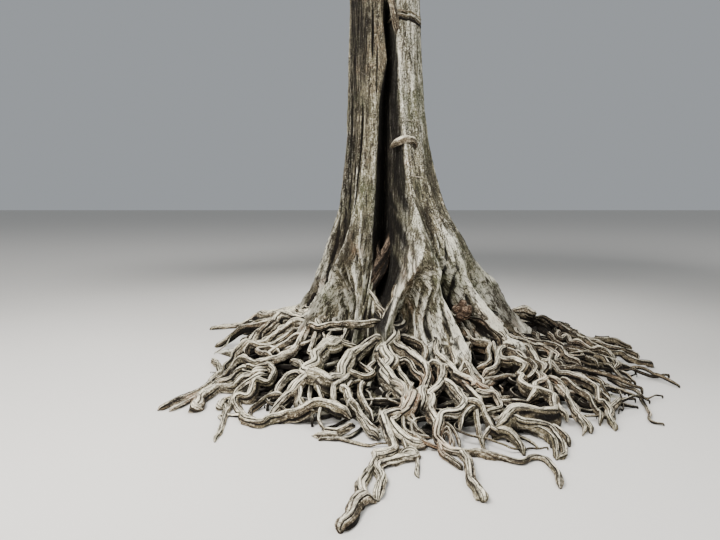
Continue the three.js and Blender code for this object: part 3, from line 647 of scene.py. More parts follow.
def trunkTones(turn, height, radius, opened, rightStem, fissure):
    def hollowBy(reach, scale):  # how far a point lies behind its neighbours to both sides
        nearby = [np.roll(radius, k, axis=1) for k in range(-reach, reach + 1, max(1, reach // 4))]
        return np.clip((np.mean(nearby, axis=0) - radius) / scale, -1, 1)

    wide, middle, narrow = hollowBy(20, 0.13), hollowBy(9, 0.05), hollowBy(4, 0.015)
    # painted shade inside the cleft, lighter on its right wall
    inside = smoothStep(0.02, 0.3, opened) * smoothStep(0.25, 0.7, height)
    inside = inside * (1 - smoothStep(3.3, 3.5, height))
    inside = inside * (0.95 + 0.2 * softNoise(turn * 0.35, height * 1.5, 0, 24))
    rightWall = smoothStep(2, 11, signed(turn - np.interp(height, cleft["heights"], cleft["turns"])))
    inside = inside * (1 - 0.42 * rightWall * (0.7 + 0.6 * softNoise(turn * 0.8, height * 0.9, 3, 25)))
    leftStem = nearTurn(turn, -138, 34, 4)
    shaded = 0.14 + 0.3 * smoothStep(2.2, 3.2, height)
    # painted shade on the left flank, less higher up
    shadedFlank = nearTurn(turn, -168, 29, 4) * smoothStep(0.3, 0.8, height)
    shadedFlank = shadedFlank * (1 - 0.7 * smoothStep(2.2, 3.2, height))
    lit = sum(share * nearTurn(turn, spot, width, 4) for spot, width, share in litFaces)
    # painted shade in hollows and grooves and on the shaded left stem and flank, less on the lit faces low
    # down
    deep = 0.6 * np.clip(wide, 0, 1) + 0.7 * np.clip(narrow, 0, 1)
    deep = deep * (1 - 0.65 * lit * (1 - smoothStep(0.9, 1.4, height)))
    deep = deep + leftStem * shaded * smoothStep(1.2, 1.8, height) + 0.3 * shadedFlank
    deep = deep + smoothStep(0.006, 0.03, fissure)
    lowDown = 1 - smoothStep(0.8, 1.6, height)
    # paler crests, partly wear and partly painted highlight, more at the foot
    worn = (0.8 - 0.5 * lowDown) * np.clip(-middle, 0, 1) + (0.5 + 0.4 * lowDown) * np.clip(-narrow, 0, 1)
    spotted = sum(np.exp(-(turnBetween(turn, spot) / across) ** 2 - ((height - level) / tall) ** 2)
                  for spot, level, across, tall in lichens)
    return {
        "deep": np.clip(np.maximum(deep, inside), 0, 1),
        "worn": np.clip(worn, 0, 1) * (0.3 + np.exp(-height / 1.2)),
        "tint": 0.35 - 0.2 * smoothStep(1.2, 2.6, height) + 0.85 * rightStem + 0.25 * lowDown,
        "lichen": np.clip(spotted, 0, 1),
    }


flow = {"thin": 0.34, "foot": 0.8, "rise": 1.12}  # how the grain runs out along the foot


def makeTrunk():
    columns, rows = trunk["columns"], trunk["rows"]
    share = np.linspace(0, 1, rows + 1)
    heights = trunk["top"] * share ** trunk["crowding"]
    turns = np.arange(columns) * 360 / columns - 180
    turns = turns - np.degrees(0.5 * np.sin(np.radians(turns + 85)))  # closer together at the front
    height, turn = np.meshgrid(heights, turns, indexing="ij")
    radius, opened = trunkRadius(turn, height)
    relief, rightStem, fissure = trunkRelief(turn, height)
    radius = radius + relief
    points = bearing(turn, radius, height).reshape(-1, 3)
    number = np.arange((rows + 1) * columns).reshape(rows + 1, columns)
    beside = np.roll(number, -1, axis=1)
    quads = np.stack([number[:-1], beside[:-1], beside[1:], number[1:]], -1).reshape(-1, 4)
    low, highest = len(points), len(points) + 1
    points = np.vstack([points, [[0, 0, 0], [0, 0, trunk["top"]]]])
    caps = np.vstack([np.stack([np.full(columns, low), beside[0], number[0]], -1),
                      np.stack([number[-1], beside[-1], np.full(columns, highest)], -1)])
    reach = flow["thin"] + flow["foot"] * np.exp(-(heights / flow["rise"]) ** trunk["riseCurve"])
    along = np.concatenate([[0], np.cumsum(np.hypot(np.diff(reach), np.diff(heights)))])[:, None]
    inward = flow["thin"] / reach[:, None] * radius
    angle = np.radians(turn)
    flowing = np.stack([np.cos(angle) * inward, np.sin(angle) * inward, along + 0 * turn], -1)
    flowing = np.vstack([flowing.reshape(-1, 3), [[0, 0, 0], [0, 0, 0]]])
    tones = trunkTones(turn, height, radius, opened, rightStem, fissure)
    values = {key: np.concatenate([tone.ravel(), [0.0, 0.0]]) for key, tone in tones.items()}
    piece = makePiece("trunkBark", points, quads, caps, None, values)
    piece.data.attributes.new("flow", "FLOAT_VECTOR", "POINT").data.foreach_set("vector", flowing.ravel())
    settle(piece, ["trunkBark"], "trunk")


# Small things on the trunk: the ledge and rings on the right stem, and the forked brace in the cleft
trunkDetails = {  # name: thickness, painted shade, points
    "trunkLedge": [
        (0.07, 0, [(0.055, -0.35, 2.07), (0.1, -0.4, 2.1), (0.17, -0.405, 2.125), (0.24, -0.365, 2.13),
                   (0.28, -0.32, 2.12)]),
        (0.04, 0.3, [(0.255, -0.36, 2.13), (0.28, -0.355, 2.09), (0.275, -0.33, 2.06)]),
        (0.06, 0.15, [(0.03, -0.34, 3.5), (0.05, -0.36, 3.36), (0.08, -0.35, 3.22), (0.1, -0.29, 3.1)]),
    ],
    "trunkFork": [
        (0.1, 0.42, [(0.1, -0.1, 1.42), (0.06, -0.2, 1.22), (0.02, -0.3, 1.1), (-0.05, -0.39, 0.99),
                      (-0.12, -0.47, 0.89), (-0.2, -0.56, 0.78), (-0.26, -0.6, 0.66)]),
        (0.09, 0.42, [(-0.1, -0.14, 1.4), (-0.09, -0.22, 1.22), (-0.08, -0.31, 1.12), (-0.06, -0.39, 1.0),
                      (-0.1, -0.46, 0.9)]),
        (0.07, 0.45, [(0.04, -0.3, 1.1), (-0.02, -0.42, 0.92), (-0.1, -0.52, 0.8), (-0.18, -0.6, 0.68)]),
    ],
}
stemRings = [  # height, thickness, painted shade, from and to; the nearly black one under the upper rings is a line of painted shade in their crease
    (3.305, 0.024, 0, -79, -12), (3.262, 0.03, 0, -79, -12), (3.236, 0.022, 0.95, -78, -12),
    (2.31, 0.014, 0.1, -62, -47), (1.79, 0.014, 0.1, -66, -45),
]
detailSides = 16


# A line round the right stem at a height, just under the bark
def ringLine(height, start, stop):
    turns = np.linspace(start, stop, 16)
    heights = height + 0.014 * np.cos(np.radians(turns + 46) * 2) - 0.014
    heights = heights + 0.01 * softNoise(turns * 0.12, height, 0, 31)
    radius = trunkRadius(turns, heights)[0] + trunkRelief(turns, heights)[0]
    return bearing(turns, radius + 0.002, heights)


def makeTrunkDetails():
    for name, rows in trunkDetails.items():
        if name == "trunkLedge":
            rows = rows + [(thick, paintedShadeShare, ringLine(height, *ends))
                           for height, thick, paintedShadeShare, *ends in stemRings]
        tubes, dark = [], []
        for i, (thick, paintedShadeShare, points) in enumerate(rows):
            path = curveThrough(points, step=0.012)
            share = np.linspace(0, 1, len(path))
            radii = 0.5 * thick * (0.2 + 0.8 * np.sin(math.pi * np.clip(share, 0.03, 0.97)) ** 0.5)
            tubes.append(Tube(path, radii, detailSides, (0, -1, 0.4), tall=1.15, crease=0.25, rough=0.008,
                              seed=900 + i, tint=0.8))
            dark += [paintedShadeShare] * (len(path) * detailSides + 2)
        points, quads, triangles, grain, crease, lifted, tint = joinTubes(tubes)
        dark = np.array(dark)
        # painted shade from each row's share and from the creases; paler tops, partly wear and partly painted
        # highlight
        worn = smoothStep(0.2, 0.9, lifted) * (1 - crease) * (1 - dark)
        piece = makePiece(name, points, quads, triangles, grain,
                          {"deep": np.clip(dark + 0.6 * crease, 0, 1), "worn": worn, "tint": tint})
        settle(piece, ["rootBark" if name == "trunkLedge" else "burlBark"], "trunk")


# Roots: the solids' own rule in metres
mound = {"height": 0.545, "start": 0.7, "decay": 1.05, "sinkFrom": 0.78, "sinkTo": 1.04}
rim = {
    "turns": [-180, -160, -145, -128, -115, -90, -69, -53, -20, 0, 45, 90, 135, 180],
    "reaches": [1.7, 1.65, 1.75, 1.95, 2.1, 2.4, 2.6, 2.55, 2.85, 2.85, 2.6, 2.6, 2.35, 1.7],
}
farRoots = [  # name, thick, thin, level, reaches, bearings, height that it climbs to
    ("left_edge", 0.1, 0.052, 0.92, [0.64, 1.8], [170, 167, 175, 168, 172], 1.5),
    ("back_1", 0.122, 0.057, 0.98, [0.64, 2.35], [148, 141, 149, 143, 152], 1.5),
    ("back_2", 0.106, 0.052, 0.9, [0.64, 2.65], [122, 129, 118, 126, 121], 1.0),
    ("back_3", 0.125, 0.057, 1.0, [0.62, 2.75], [106, 97, 104, 94, 99], 1.6),
    ("back_4", 0.114, 0.057, 0.94, [0.64, 2.6], [74, 81, 70, 77, 70], 1.4),
    ("back_5", 0.106, 0.052, 0.9, [0.66, 2.7], [50, 45, 56, 47, 52], 1.0),
    ("back_6", 0.118, 0.057, 0.98, [0.68, 2.75], [32, 25, 33, 24, 28], 1.5),
]


def rimReach(turn):
    return np.interp(signed(turn), rim["turns"], rim["reaches"])


def moundHeight(turn, distance):
    edge = rimReach(turn)
    height = mound["height"] * np.exp(-(distance - mound["start"]) / mound["decay"])
    return height * (1 - smoothStep(mound["sinkFrom"] * edge, mound["sinkTo"] * edge, distance))


# Even spline through values, as the solids' bearings are drawn
def splineThrough(values, share):
    values = np.asarray(values, float)
    last = len(values) - 1
    spot = np.clip(share, 0, 1) * last
    i = np.minimum(np.floor(spot).astype(int), last - 1)
    t = spot - i
    p0, p1 = values[np.maximum(i - 1, 0)], values[i]
    p2, p3 = values[i + 1], values[np.minimum(i + 2, last)]
    m1, m2 = (p2 - p0) / 2, (p3 - p1) / 2
    return (2 * p1 - 2 * p2 + m1 + m2) * t ** 3 + (3 * (p2 - p1) - 2 * m1 - m2) * t ** 2 + m1 * t + p1


# A root's line: down the trunk's face first, then out over the mound
def rootLine(level, reaches, turns, climb, thick, seed):
    share = np.linspace(0, 1, 3 * (len(turns) - 1) + 1)
    turn, distance = splineThrough(turns, share), splineThrough(reaches, share)
    height = level * moundHeight(turn, distance)
    free = bearing(turn, distance, height)
    if not climb:
        return free
    surface = trunkRadius(turn, height)[0]
    outside = np.where(distance > surface - 0.3 * thick)[0]
    first = outside[0] if len(outside) else len(share) - 2
    low = max(float(height[first]), 0.08) + 0.12
    rise = np.linspace(climb, low, max(3, int((climb - low) / 0.16)))
    foot, top = turn[first], turn[first]
    for ridgeFoot, ridgeTop, width, _, _ in buttresses:
        if turnBetween(foot, ridgeFoot) < width:
            foot, top = ridgeFoot, ridgeTop
    foot = turn[first] + signed(foot - turn[first])
    climbTurn = crestTurn(foot, foot + signed(top - foot), rise)
    climbTurn = climbTurn + (turn[first] - foot) * np.exp(-(rise - low) / 0.15)
    climbTurn = climbTurn + 2.5 * softNoise(rise * 2.2, seed, 3, seed)
    near = trunkRadius(climbTurn, rise)[0]
    sunk = 0.02 + 0.1 * thick + 0.09 * np.exp(-(climb - rise) / 0.14)
    return np.vstack([bearing(climbTurn, near - sunk, rise), free[first:]])


def taperAlong(path, thick, thin, climbShare):
    run = runAlong(path)
    share = run / run[-1]
    full = thick + (thin - thick) * np.clip((share - climbShare) / max(1 - climbShare, 1e-6), 0, 1)
    rising = np.clip(share / climbShare, 0, 1) if climbShare > 0 else 1
    return 0.5 * full * (0.22 + 0.78 * rising) * (1 - 0.35 * smoothStep(run[-1] - 0.25, run[-1], run))


def climbingShare(path, climb):
    if not climb:
        return 0.0
    steps = np.linalg.norm(np.diff(path, axis=0), axis=1)
    below = np.where(path[:, 2] < 0.5)[0]
    first = below[0] if len(below) else 1
    return float(steps[:first].sum() / steps.sum())


# Bends a root's path to elbows and humps, then dips its end into the ground
def bendPath(path, thick, spacing, sway, hump, climbShare, seed):
    run = runAlong(path)
    share = run / run[-1]
    free = smoothStep(climbShare, climbShare + 0.12, share) * (1 - smoothStep(0.93, 1, share))
    ahead = np.gradient(path, axis=0)
    across = np.stack([-ahead[:, 1], ahead[:, 0], 0 * run], -1)
    across /= np.maximum(np.linalg.norm(across, axis=1), 1e-6)[:, None]
    path = path + across * (sway * free * elbows(run, spacing, 0.5 * thick + 0.03, seed))[:, None]
    rise = hump * free * elbows(run, spacing * 1.3, 0.5 * thick + 0.04, seed + 500)
    path[:, 2] = np.maximum(path[:, 2] + rise, 0.012)
    heading = path[-1] - path[-6]
    heading = unit(heading) * (1, 1, 0)
    end = path[-1]
    dip = [end + heading * 0.45 * thick * k - (0, 0, thick * drop)
           for k, drop in ((0.5, 0.3), (0.8, 1), (0.9, 1.9))]
    return np.vstack([path, dip])


rootLooks = {
    "flatness": (1.3, 2.0), "creases": (0.3, 0.5), "wedges": (0.05, 0.3), "lean": 0.7, "rough": 0.006,
}
farLook = {"seed": 37, "sides": 30, "step": 0.018, "strands": 4, "sway": 0.03, "hump": 0.02, "spacing": 0.3}
middling = {  # all round, lower and thinner at the front
    "count": 130, "starts": (0.55, 0.9), "reaches": (0.62, 0.98), "thick": (0.05, 0.1), "levels": (0.3, 1.05),
    "climbs": (0.45, 1.3), "swing": 9,
    "seed": 100, "sides": 13, "step": 0.021, "strands": 2, "sway": 0.075, "hump": 0.05, "spacing": 0.3,
}
weaving = {  # thin ones between them
    "count": 110, "beyond": (-0.25, 0.8), "thick": (0.018, 0.04), "levels": (0.3, 0.98), "sweep": 34,
    "seed": 400, "sides": 8, "step": 0.022, "strands": 2, "sway": 0.04, "hump": 0.04, "spacing": 0.2,
}
lowest = {  # the dark lowest layer
    "count": 100, "starts": (0.7, 1.3), "beyond": (0.4, 0.9), "thick": (0.05, 0.1), "levels": (0.08, 0.3),
    "seed": 700, "sides": 9, "step": 0.03, "strands": 2, "sway": 0.05, "hump": 0.03, "spacing": 0.25,
}


def makeRootTube(row, look, index, tint):
    thick, thin, level, reaches, turns, climb = row
    seed = look["seed"] + index
    random = SeededRandom(seed * 17 + 3)
    line = rootLine(level, reaches, turns, climb, thick, seed)
    path = curveThrough(line, step=look["step"])
    share = climbingShare(path, climb)
    path = bendPath(path, thin, look["spacing"], look["sway"], look["hump"], share, seed)
    radii = taperAlong(path, thick, thin, share)
    out = path[0] * (1, 1, 0)
    up = unit(out) if climb else (0, 0, 1)
    tall = random.between(*rootLooks["flatness"])
    radii = radii / math.sqrt(tall / rootLooks["flatness"][0])
    strands = 3 + int(look["strands"] * random())
    return Tube(path, radii, look["sides"], up, tall=tall, strands=strands,
                crease=random.between(*rootLooks["creases"]), wedge=random.between(*rootLooks["wedges"]),
                lean=rootLooks["lean"], rough=rootLooks["rough"], seed=seed, tint=tint)


# One traced strand: a narrow crest, with its side going down like a board on edge
strandLooks = {
    "tall": 1.15, "wedge": 0.24, "crease": 0.5, "sway": 0.006, "dip": 0.9, "full": 1.28, "fullOnTrunk": 1.4,
    "sunkOnTrunk": 0.3, "crestTo": 0.55, "coarseFrom": 4.5,
}


def makeStrand(row, seed, onTrunk):
    thick, thin, plate, spots = row
    full = strandLooks["fullOnTrunk"] if onTrunk else strandLooks["full"]
    thick, thin = full * thick, full * thin
    stations = strandStations(spots)
    if onTrunk:  # above this the crest is part of the trunk's own surface
        stations = stations[max(0, np.argmax(stations[:, 2] < strandLooks["crestTo"]) - 1):]
    path = curveThrough(stations, step=0.012)
    random = SeededRandom(seed * 29 + 11)
    run = runAlong(path)
    share = run / run[-1]
    free = np.minimum(1, 8 * np.minimum(share, 1 - share))[:, None]
    wave = np.stack([softNoise(run * 9, seed, k, seed) for k in range(3)], -1)
    path = path + strandLooks["sway"] * (1 + 0.5 * thick) * free * wave
    radii = 0.005 * (thick + (thin - thick) * share)
    ends = smoothStep(0, 0.1 if stations[0, 2] > 0.3 else 0.05, run) * smoothStep(0, 0.05, run[-1] - run)
    out = path[0] * (1, 1, 0)
    fall = abs(path[6, 2] - path[0, 2]) / np.linalg.norm(path[6] - path[0])
    up = unit(unit(out) * min(1, 2 * fall) + (0, 0, 1.05 - fall))
    sunk = strandLooks["sunkOnTrunk"] if onTrunk else 0
    path = path - up * ((sunk + strandLooks["dip"] * (1 - ends)) * 0.01 * thick)[:, None]
    path[:, 2] = np.maximum(path[:, 2], 0.75 * radii * ends)
    sides, sinews = (32, 6) if thick > strandLooks["coarseFrom"] else (20, 4)
    return Tube(path, radii * (0.4 + 0.6 * ends), sides, up, tall=strandLooks["tall"],
                strands=sinews + int(3 * random()), crease=strandLooks["crease"], wedge=strandLooks["wedge"],
                lean=0.35, rough=0.008, seed=seed, tint=random.between(0.35, 1), plate=1 + 0.8 * plate)


tangle = {"seed": 83, "pieceTriangles": 150000}


def wanderingTurns(random, turn, bends, swing):
    turns, lean = [turn], random.between(-0.5, 0.5) * swing
    for k in range(bends - 1):
        lean = -0.55 * lean + random.between(-swing, swing)
        turns.append(turns[-1] + lean * (1.3 - 0.5 * k / bends))
    return turns


def secondRoots():
    random = SeededRandom(tangle["seed"])
    tubes = []

    def edge(turn):
        return float(rimReach(turn)) * (1 - 0.16 * math.exp(-(turnBetween(turn, 180) / 35) ** 2))

    for i in range(middling["count"]):
        turn = 360 * (i + random()) / middling["count"] - 180
        front = math.exp(-(turnBetween(turn, -80) / 80) ** 4)
        reach = edge(turn) * random.between(*middling["reaches"])
        turns = wanderingTurns(random, turn, 5 + int(3 * random()), middling["swing"])
        thick = random.between(*middling["thick"]) * (1 - 0.35 * front)
        level = random.between(*middling["levels"]) * (1 - 0.25 * front)
        climb = random.between(*middling["climbs"]) if random() < 0.7 - 0.45 * front else 0
        climb = climb if front < 0.3 else 0
        row = (thick, thick * 0.5, level, [random.between(*middling["starts"]), reach], turns, climb)
        tubes.append(makeRootTube(row, middling, i, random()))
    for i in range(weaving["count"]):
        turn = random.between(-180, 180) if random() < 0.45 else random.between(-170, 0)
        start = random.between(0.8, 0.8 * edge(turn))
        reach = min(start + random.between(*weaving["beyond"]), 0.97 * edge(turn))
        sweep = random.between(-weaving["sweep"], weaving["sweep"])
        turns = [turn + sweep * k / 4 + random.between(-7, 7) for k in range(5)]
        thick = random.between(*weaving["thick"])
        level = random.between(*weaving["levels"]) * (1 - 0.3 * math.exp(-(turnBetween(turn, -80) / 80) ** 4))
        row = (thick, thick * 0.6, level, [start, reach], turns, 0)
        tubes.append(makeRootTube(row, weaving, i, random()))
    for i in range(lowest["count"]):
        turn = random.between(-180, 180)
        start = random.between(*lowest["starts"])
        turns = [turn + random.between(-12, 12) for _ in range(5)]
        thick = random.between(*lowest["thick"])
        reach = min(start + random.between(*lowest["beyond"]), 0.95 * edge(turn))
        row = (thick, thick * 0.5, random.between(*lowest["levels"]), [start, reach], turns, 0)
        tubes.append(makeRootTube(row, lowest, i, random() * 0.5))
    return tubes


# How far a point lies under the top of the heap above it; this depth paints shade into the gaps of the tangle
class HeapTop:
    cell, half, full = 0.03, 3.6, 0.17  # a cell's side, half the field's, and the depth that counts as 1

    def __init__(self, clouds):
        count = int(2 * self.half / self.cell)
        self.top = np.zeros((count, count))
        for points in clouds:
            low = points[points[:, 2] < 0.8]
            i, j = self.cells(low)
            np.maximum.at(self.top, (i, j), low[:, 2])
        for _ in range(3):
            shifted = [np.roll(np.roll(self.top, a, 0), b, 1) for a in (-1, 0, 1) for b in (-1, 0, 1)]
            self.top = 0.5 * np.max(shifted, axis=0) + 0.5 * np.mean(shifted, axis=0)

    def cells(self, points):
        spots = ((points[:, :2] + self.half) / self.cell).astype(int)
        spots = np.clip(spots, 0, int(2 * self.half / self.cell) - 1)
        return spots[:, 0], spots[:, 1]

    def depth(self, points):
        i, j = self.cells(points)
        return np.clip((self.top[i, j] - points[:, 2] - 0.02) / self.full, 0, 1)


# Weights for the roots' painted shade (beneath them, on the plates' lower edges, in creases), a darker and
# less pale right side, a paler left side, and less wear and painted highlight on the right
rootTones = {
    "under": 0.75, "edge": 0.6, "crease": 0.9, "rightDarker": 0.16, "paler": 0.3, "rightLessPale": 0.45,
    "rightLessWearAndHighlight": 0.3,
}


def placeRoots(name, tubes, heap, node=None, slot="root_bark"):
    points, quads, triangles, grain, crease, lifted, tint = joinTubes(tubes)
    flat = np.concatenate([np.full(t.count * t.sides + 2, smoothStep(1.2, 2.0, t.plate)) for t in tubes])
    # painted shade beneath the roots and on the lower edges of plates, added to the heap's depth and the
    # creases
    under = rootTones["under"] * (1 - smoothStep(-0.9, 0.2, lifted))
    edge = rootTones["edge"] * (1 - smoothStep(-1.0, -0.8, lifted))
    deep = heap.depth(points) * (1 - 0.45 * flat) + under + (edge - under) * flat
    deep = deep + rootTones["crease"] * crease
    rightSide = smoothStep(0.7, 1.8, points[:, 0]) * np.exp(-(points[:, 1] / 1.8) ** 4)
    deep = np.clip(deep + (rootTones["rightDarker"] * rightSide if node != "trunk" else 0), 0, 1)
    leftSide = 1 - smoothStep(-0.4, 0.6, points[:, 0])
    aside = rootTones["paler"] * leftSide - rootTones["rightLessPale"] * rightSide
    tint = tint + (rootTones["paler"] if slot == "bark" else aside)
    # paler tops: partly wear, partly painted highlight; less near the ground
    worn = smoothStep(0.4, 0.95, lifted) * (1 - crease) * (0.35 + 0.65 * smoothStep(0.0, 0.16, points[:, 2]))
    worn = worn * (1 - rootTones["rightLessWearAndHighlight"] * rightSide)
    piece = makePiece(name, points, quads, triangles, grain, {"deep": deep, "worn": worn, "tint": tint})
    settle(piece, ["rootBark"], node)


# The reddish burl on the right flank: lumps grown together
burl = {
    "place": (0.665, -0.76, 0.59), "rough": 0.02, "rings": 30, "sides": 40,
    "lumps": [(-0.034, 0, 0.012, 0.056), (0.03, -0.01, -0.012, 0.058), (0.008, 0.01, 0.05, 0.04),
              (-0.02, -0.02, -0.045, 0.04), (0.058, 0, 0.022, 0.034)],  # place and size of each
}


def makeBurl():
    rings, sides = burl["rings"], burl["sides"]
    balls = []
    for i, (*shift, size) in enumerate(burl["lumps"]):
        middle = np.array(burl["place"]) + shift
        path = middle + np.linspace(-0.9, 0.9, rings)[:, None] * size * np.array([1, -0.15, -0.1])
        radii = size * np.sqrt(1.02 - np.linspace(-0.98, 0.98, rings) ** 2)
        balls.append(Tube(path, radii, sides, (0, 0, 1), strands=7, crease=0.3, rough=burl["rough"],
                          seed=77 + i, tint=0.4))
    points, quads, triangles, grain, crease, lifted, tint = joinTubes(balls)
    # painted shade in the creases; paler tops, partly wear and partly painted highlight
    piece = makePiece("burl", points, quads, triangles, grain,
                      {"deep": crease * 0.9, "worn": 0.45 * smoothStep(0.2, 1, lifted), "tint": tint})
    settle(piece, ["burlBark"], "trunk")


def camelName(node):
    first, *rest = node.split("_")
    return first + "".join(word.capitalize() for word in rest)


def makeRoots():
    groups = {}
    for group, rows in strandRows.items():
        groups[group] = [makeStrand(row, 17 * len(groups) + i, group == "trunk") for i, row in enumerate(rows)
                         if strandStations(row[3])[-1, 2] < strandLooks["crestTo"]]
    for i, (group, *row) in enumerate(farRoots):
        groups[group] = [makeRootTube(row, farLook, i, 0.35 + 0.5 * ((i * 0.37) % 1))]
    others = secondRoots()
    heap = HeapTop([t.points.reshape(-1, 3) for t in sum(groups.values(), []) + others])
    for group, tubes in groups.items():
        if group in ("trunk", "knobs"):
            placeRoots(camelName("trunk_" + group), tubes, heap, "trunk", "bark")
        else:
            placeRoots(camelName("root_" + group), tubes, heap, "root_" + group)
    batches, total = [[]], 0
    for tube in others:
        batches[-1].append(tube)
        total += 2 * tube.count * tube.sides
        if total > tangle["pieceTriangles"]:
            batches.append([])
            total = 0
    for i, batch in enumerate(batches):
        placeRoots(f"rootTangle{i + 1}", batch, heap)


# Shader maths
class Wire:  # one output socket that can be added, multiplied and so on
    def __init__(self, tree, socket):
        self.tree = tree
        self.socket = socket

    def make(self, kind, settings=None, sockets=None, output=0):  # any other node
        node = self.tree.nodes.new(kind)
        for key, value in (settings or {}).items():
            if key == "stops":
                ramp = node.color_ramp.elements
                while len(ramp) < len(value):
                    ramp.new(0.5)
                for element, (spot, shade) in zip(ramp, value):
                    element.position = spot
                    element.color = shade
            else:
                setattr(node, key, value)
        for key, value in (sockets or {}).items():
            if isinstance(value, Wire):
                self.tree.links.new(value.socket, node.inputs[key])
            else:
                node.inputs[key].default_value = value
        return Wire(self.tree, node.outputs[output])

    def calculate(self, operation, first, second=0.0, third=0.0):
        return self.make("ShaderNodeMath", {"operation": operation}, {0: first, 1: second, 2: third})

    def __add__(self, other):
        return self.calculate("ADD", self, other)

    def __sub__(self, other):
        return self.calculate("SUBTRACT", self, other)

    def __rsub__(self, other):
        return self.calculate("SUBTRACT", other, self)

    def __mul__(self, other):
        return self.calculate("MULTIPLY", self, other)

    def __pow__(self, other):
        return self.calculate("POWER", self, other)

    __radd__ = __add__
    __rmul__ = __mul__

    def limited(self, low, high):  # 0 below low, 1 above high
        return self.make("ShaderNodeMapRange", {"interpolation_type": "SMOOTHSTEP"},
                         {0: self, 1: low, 2: high, 3: 0.0, 4: 1.0})

    def tinted(self, first, second):  # first colour where this is 0, second where it is 1
        return self.make("ShaderNodeMix", {"data_type": "RGBA"}, {0: self, 6: first, 7: second}, output=2)


def paint(red, green, blue):  # a screen colour as Blender's linear one
    linear = [((c / 255 + 0.055) / 1.055) ** 2.4 if c > 10 else c / 255 / 12.92 for c in (red, green, blue)]
    return (*linear, 1)


def newMaterial(name):
    material = bpy.data.materials.new(name)
    material.use_nodes = True
    tree = material.node_tree
    shader = tree.nodes["Principled BSDF"]
    return material, Wire(tree, None), shader


def attributeWire(start, name):
    return start.make("ShaderNodeAttribute", {"attribute_name": name}, output=2)


def noiseWire(start, place, scale, detail=4.0, rough=0.6):
    return start.make("ShaderNodeTexNoise", None,
                      {"Vector": place, "Scale": scale, "Detail": detail, "Roughness": rough})


# 1 along thin winding lines where the noise crosses its middle, 0 beside them
def crackWire(noise, width):
    off = noise.calculate("ABSOLUTE", noise - 0.5)
    return 1 - off.limited(0.0, width)


# Bark looks; one weight in each sets how much wear and painted highlight pale the bark
barkLooks = {
    "trunkBark": {
        "dark": paint(47, 41, 32), "middle": paint(154, 146, 119), "light": paint(238, 233, 214), "fine": 0.8,
        "moss": paint(108, 112, 80), "lichen": paint(226, 232, 222), "rust": paint(150, 112, 84),
        "mossShare": 0.45, "lichenFrom": 0.64, "relief": 0.9, "cracks": 0.9, "palest": 0.9, "streaks": 1.7,
        "hairs": 0.8, "specks": 2.6, "worn": 0.9,
    },
    "rootBark": {
        "dark": paint(48, 40, 32), "middle": paint(142, 126, 100), "light": paint(248, 238, 212),
        "fine": 0.55,
        "moss": paint(122, 120, 90), "lichen": paint(234, 232, 222), "rust": paint(176, 128, 98),
        "mossShare": 0.3, "lichenFrom": 0.68, "relief": 0.9, "cracks": 0.85, "palest": 1.0, "streaks": 0.8,
        "hairs": 1.8, "specks": 0.8, "worn": 1.15,
    },
    "burlBark": {
        "dark": paint(50, 38, 30), "middle": paint(116, 92, 73), "light": paint(200, 174, 148), "fine": 0.55,
        "moss": paint(114, 94, 68), "lichen": paint(224, 206, 184), "rust": paint(128, 86, 64),
        "mossShare": 0.2, "lichenFrom": 0.7, "relief": 1.0, "cracks": 0.8, "palest": 0.9, "streaks": 0.4,
        "hairs": 0.8, "specks": 2.0, "worn": 0.8,
    },
    "limbBark": {
        "dark": paint(62, 56, 46), "middle": paint(124, 116, 100), "light": paint(172, 166, 150), "fine": 0.7,
        "moss": paint(100, 102, 72), "lichen": paint(190, 196, 184), "rust": paint(128, 104, 82),
        "mossShare": 0.3, "lichenFrom": 0.64, "relief": 0.6, "cracks": 0.6, "palest": 0.8, "streaks": 0.5,
        "hairs": 0.8, "specks": 1.4, "worn": 0.75,
    },
}


grainNoises = {  # noises drawn out along the grain: scale across, scale along, detail
    "fibres": (70.0, 8.0, 4.0), "threads": (210.0, 30.0, 3.0), "hairs": (330.0, 14.0, 3.0),
    "cracks": (34.0, 4.5, 3.0), "fineCracks": (85.0, 14.0, 2.0), "streaks": (20.0, 1.4, 4.0),
}
spaceNoises = {  # noises in space: scale, detail, roughness
    "blotches": (6.0, 5.0, 0.65), "specks": (75.0, 3.0, 0.75), "broad": (1.7, 3.0, 0.55),
}
# the darkest colours: bark cracks, and the colour of painted shade
darkest = {"crack": paint(40, 33, 26), "hollow": paint(16, 12, 8)}


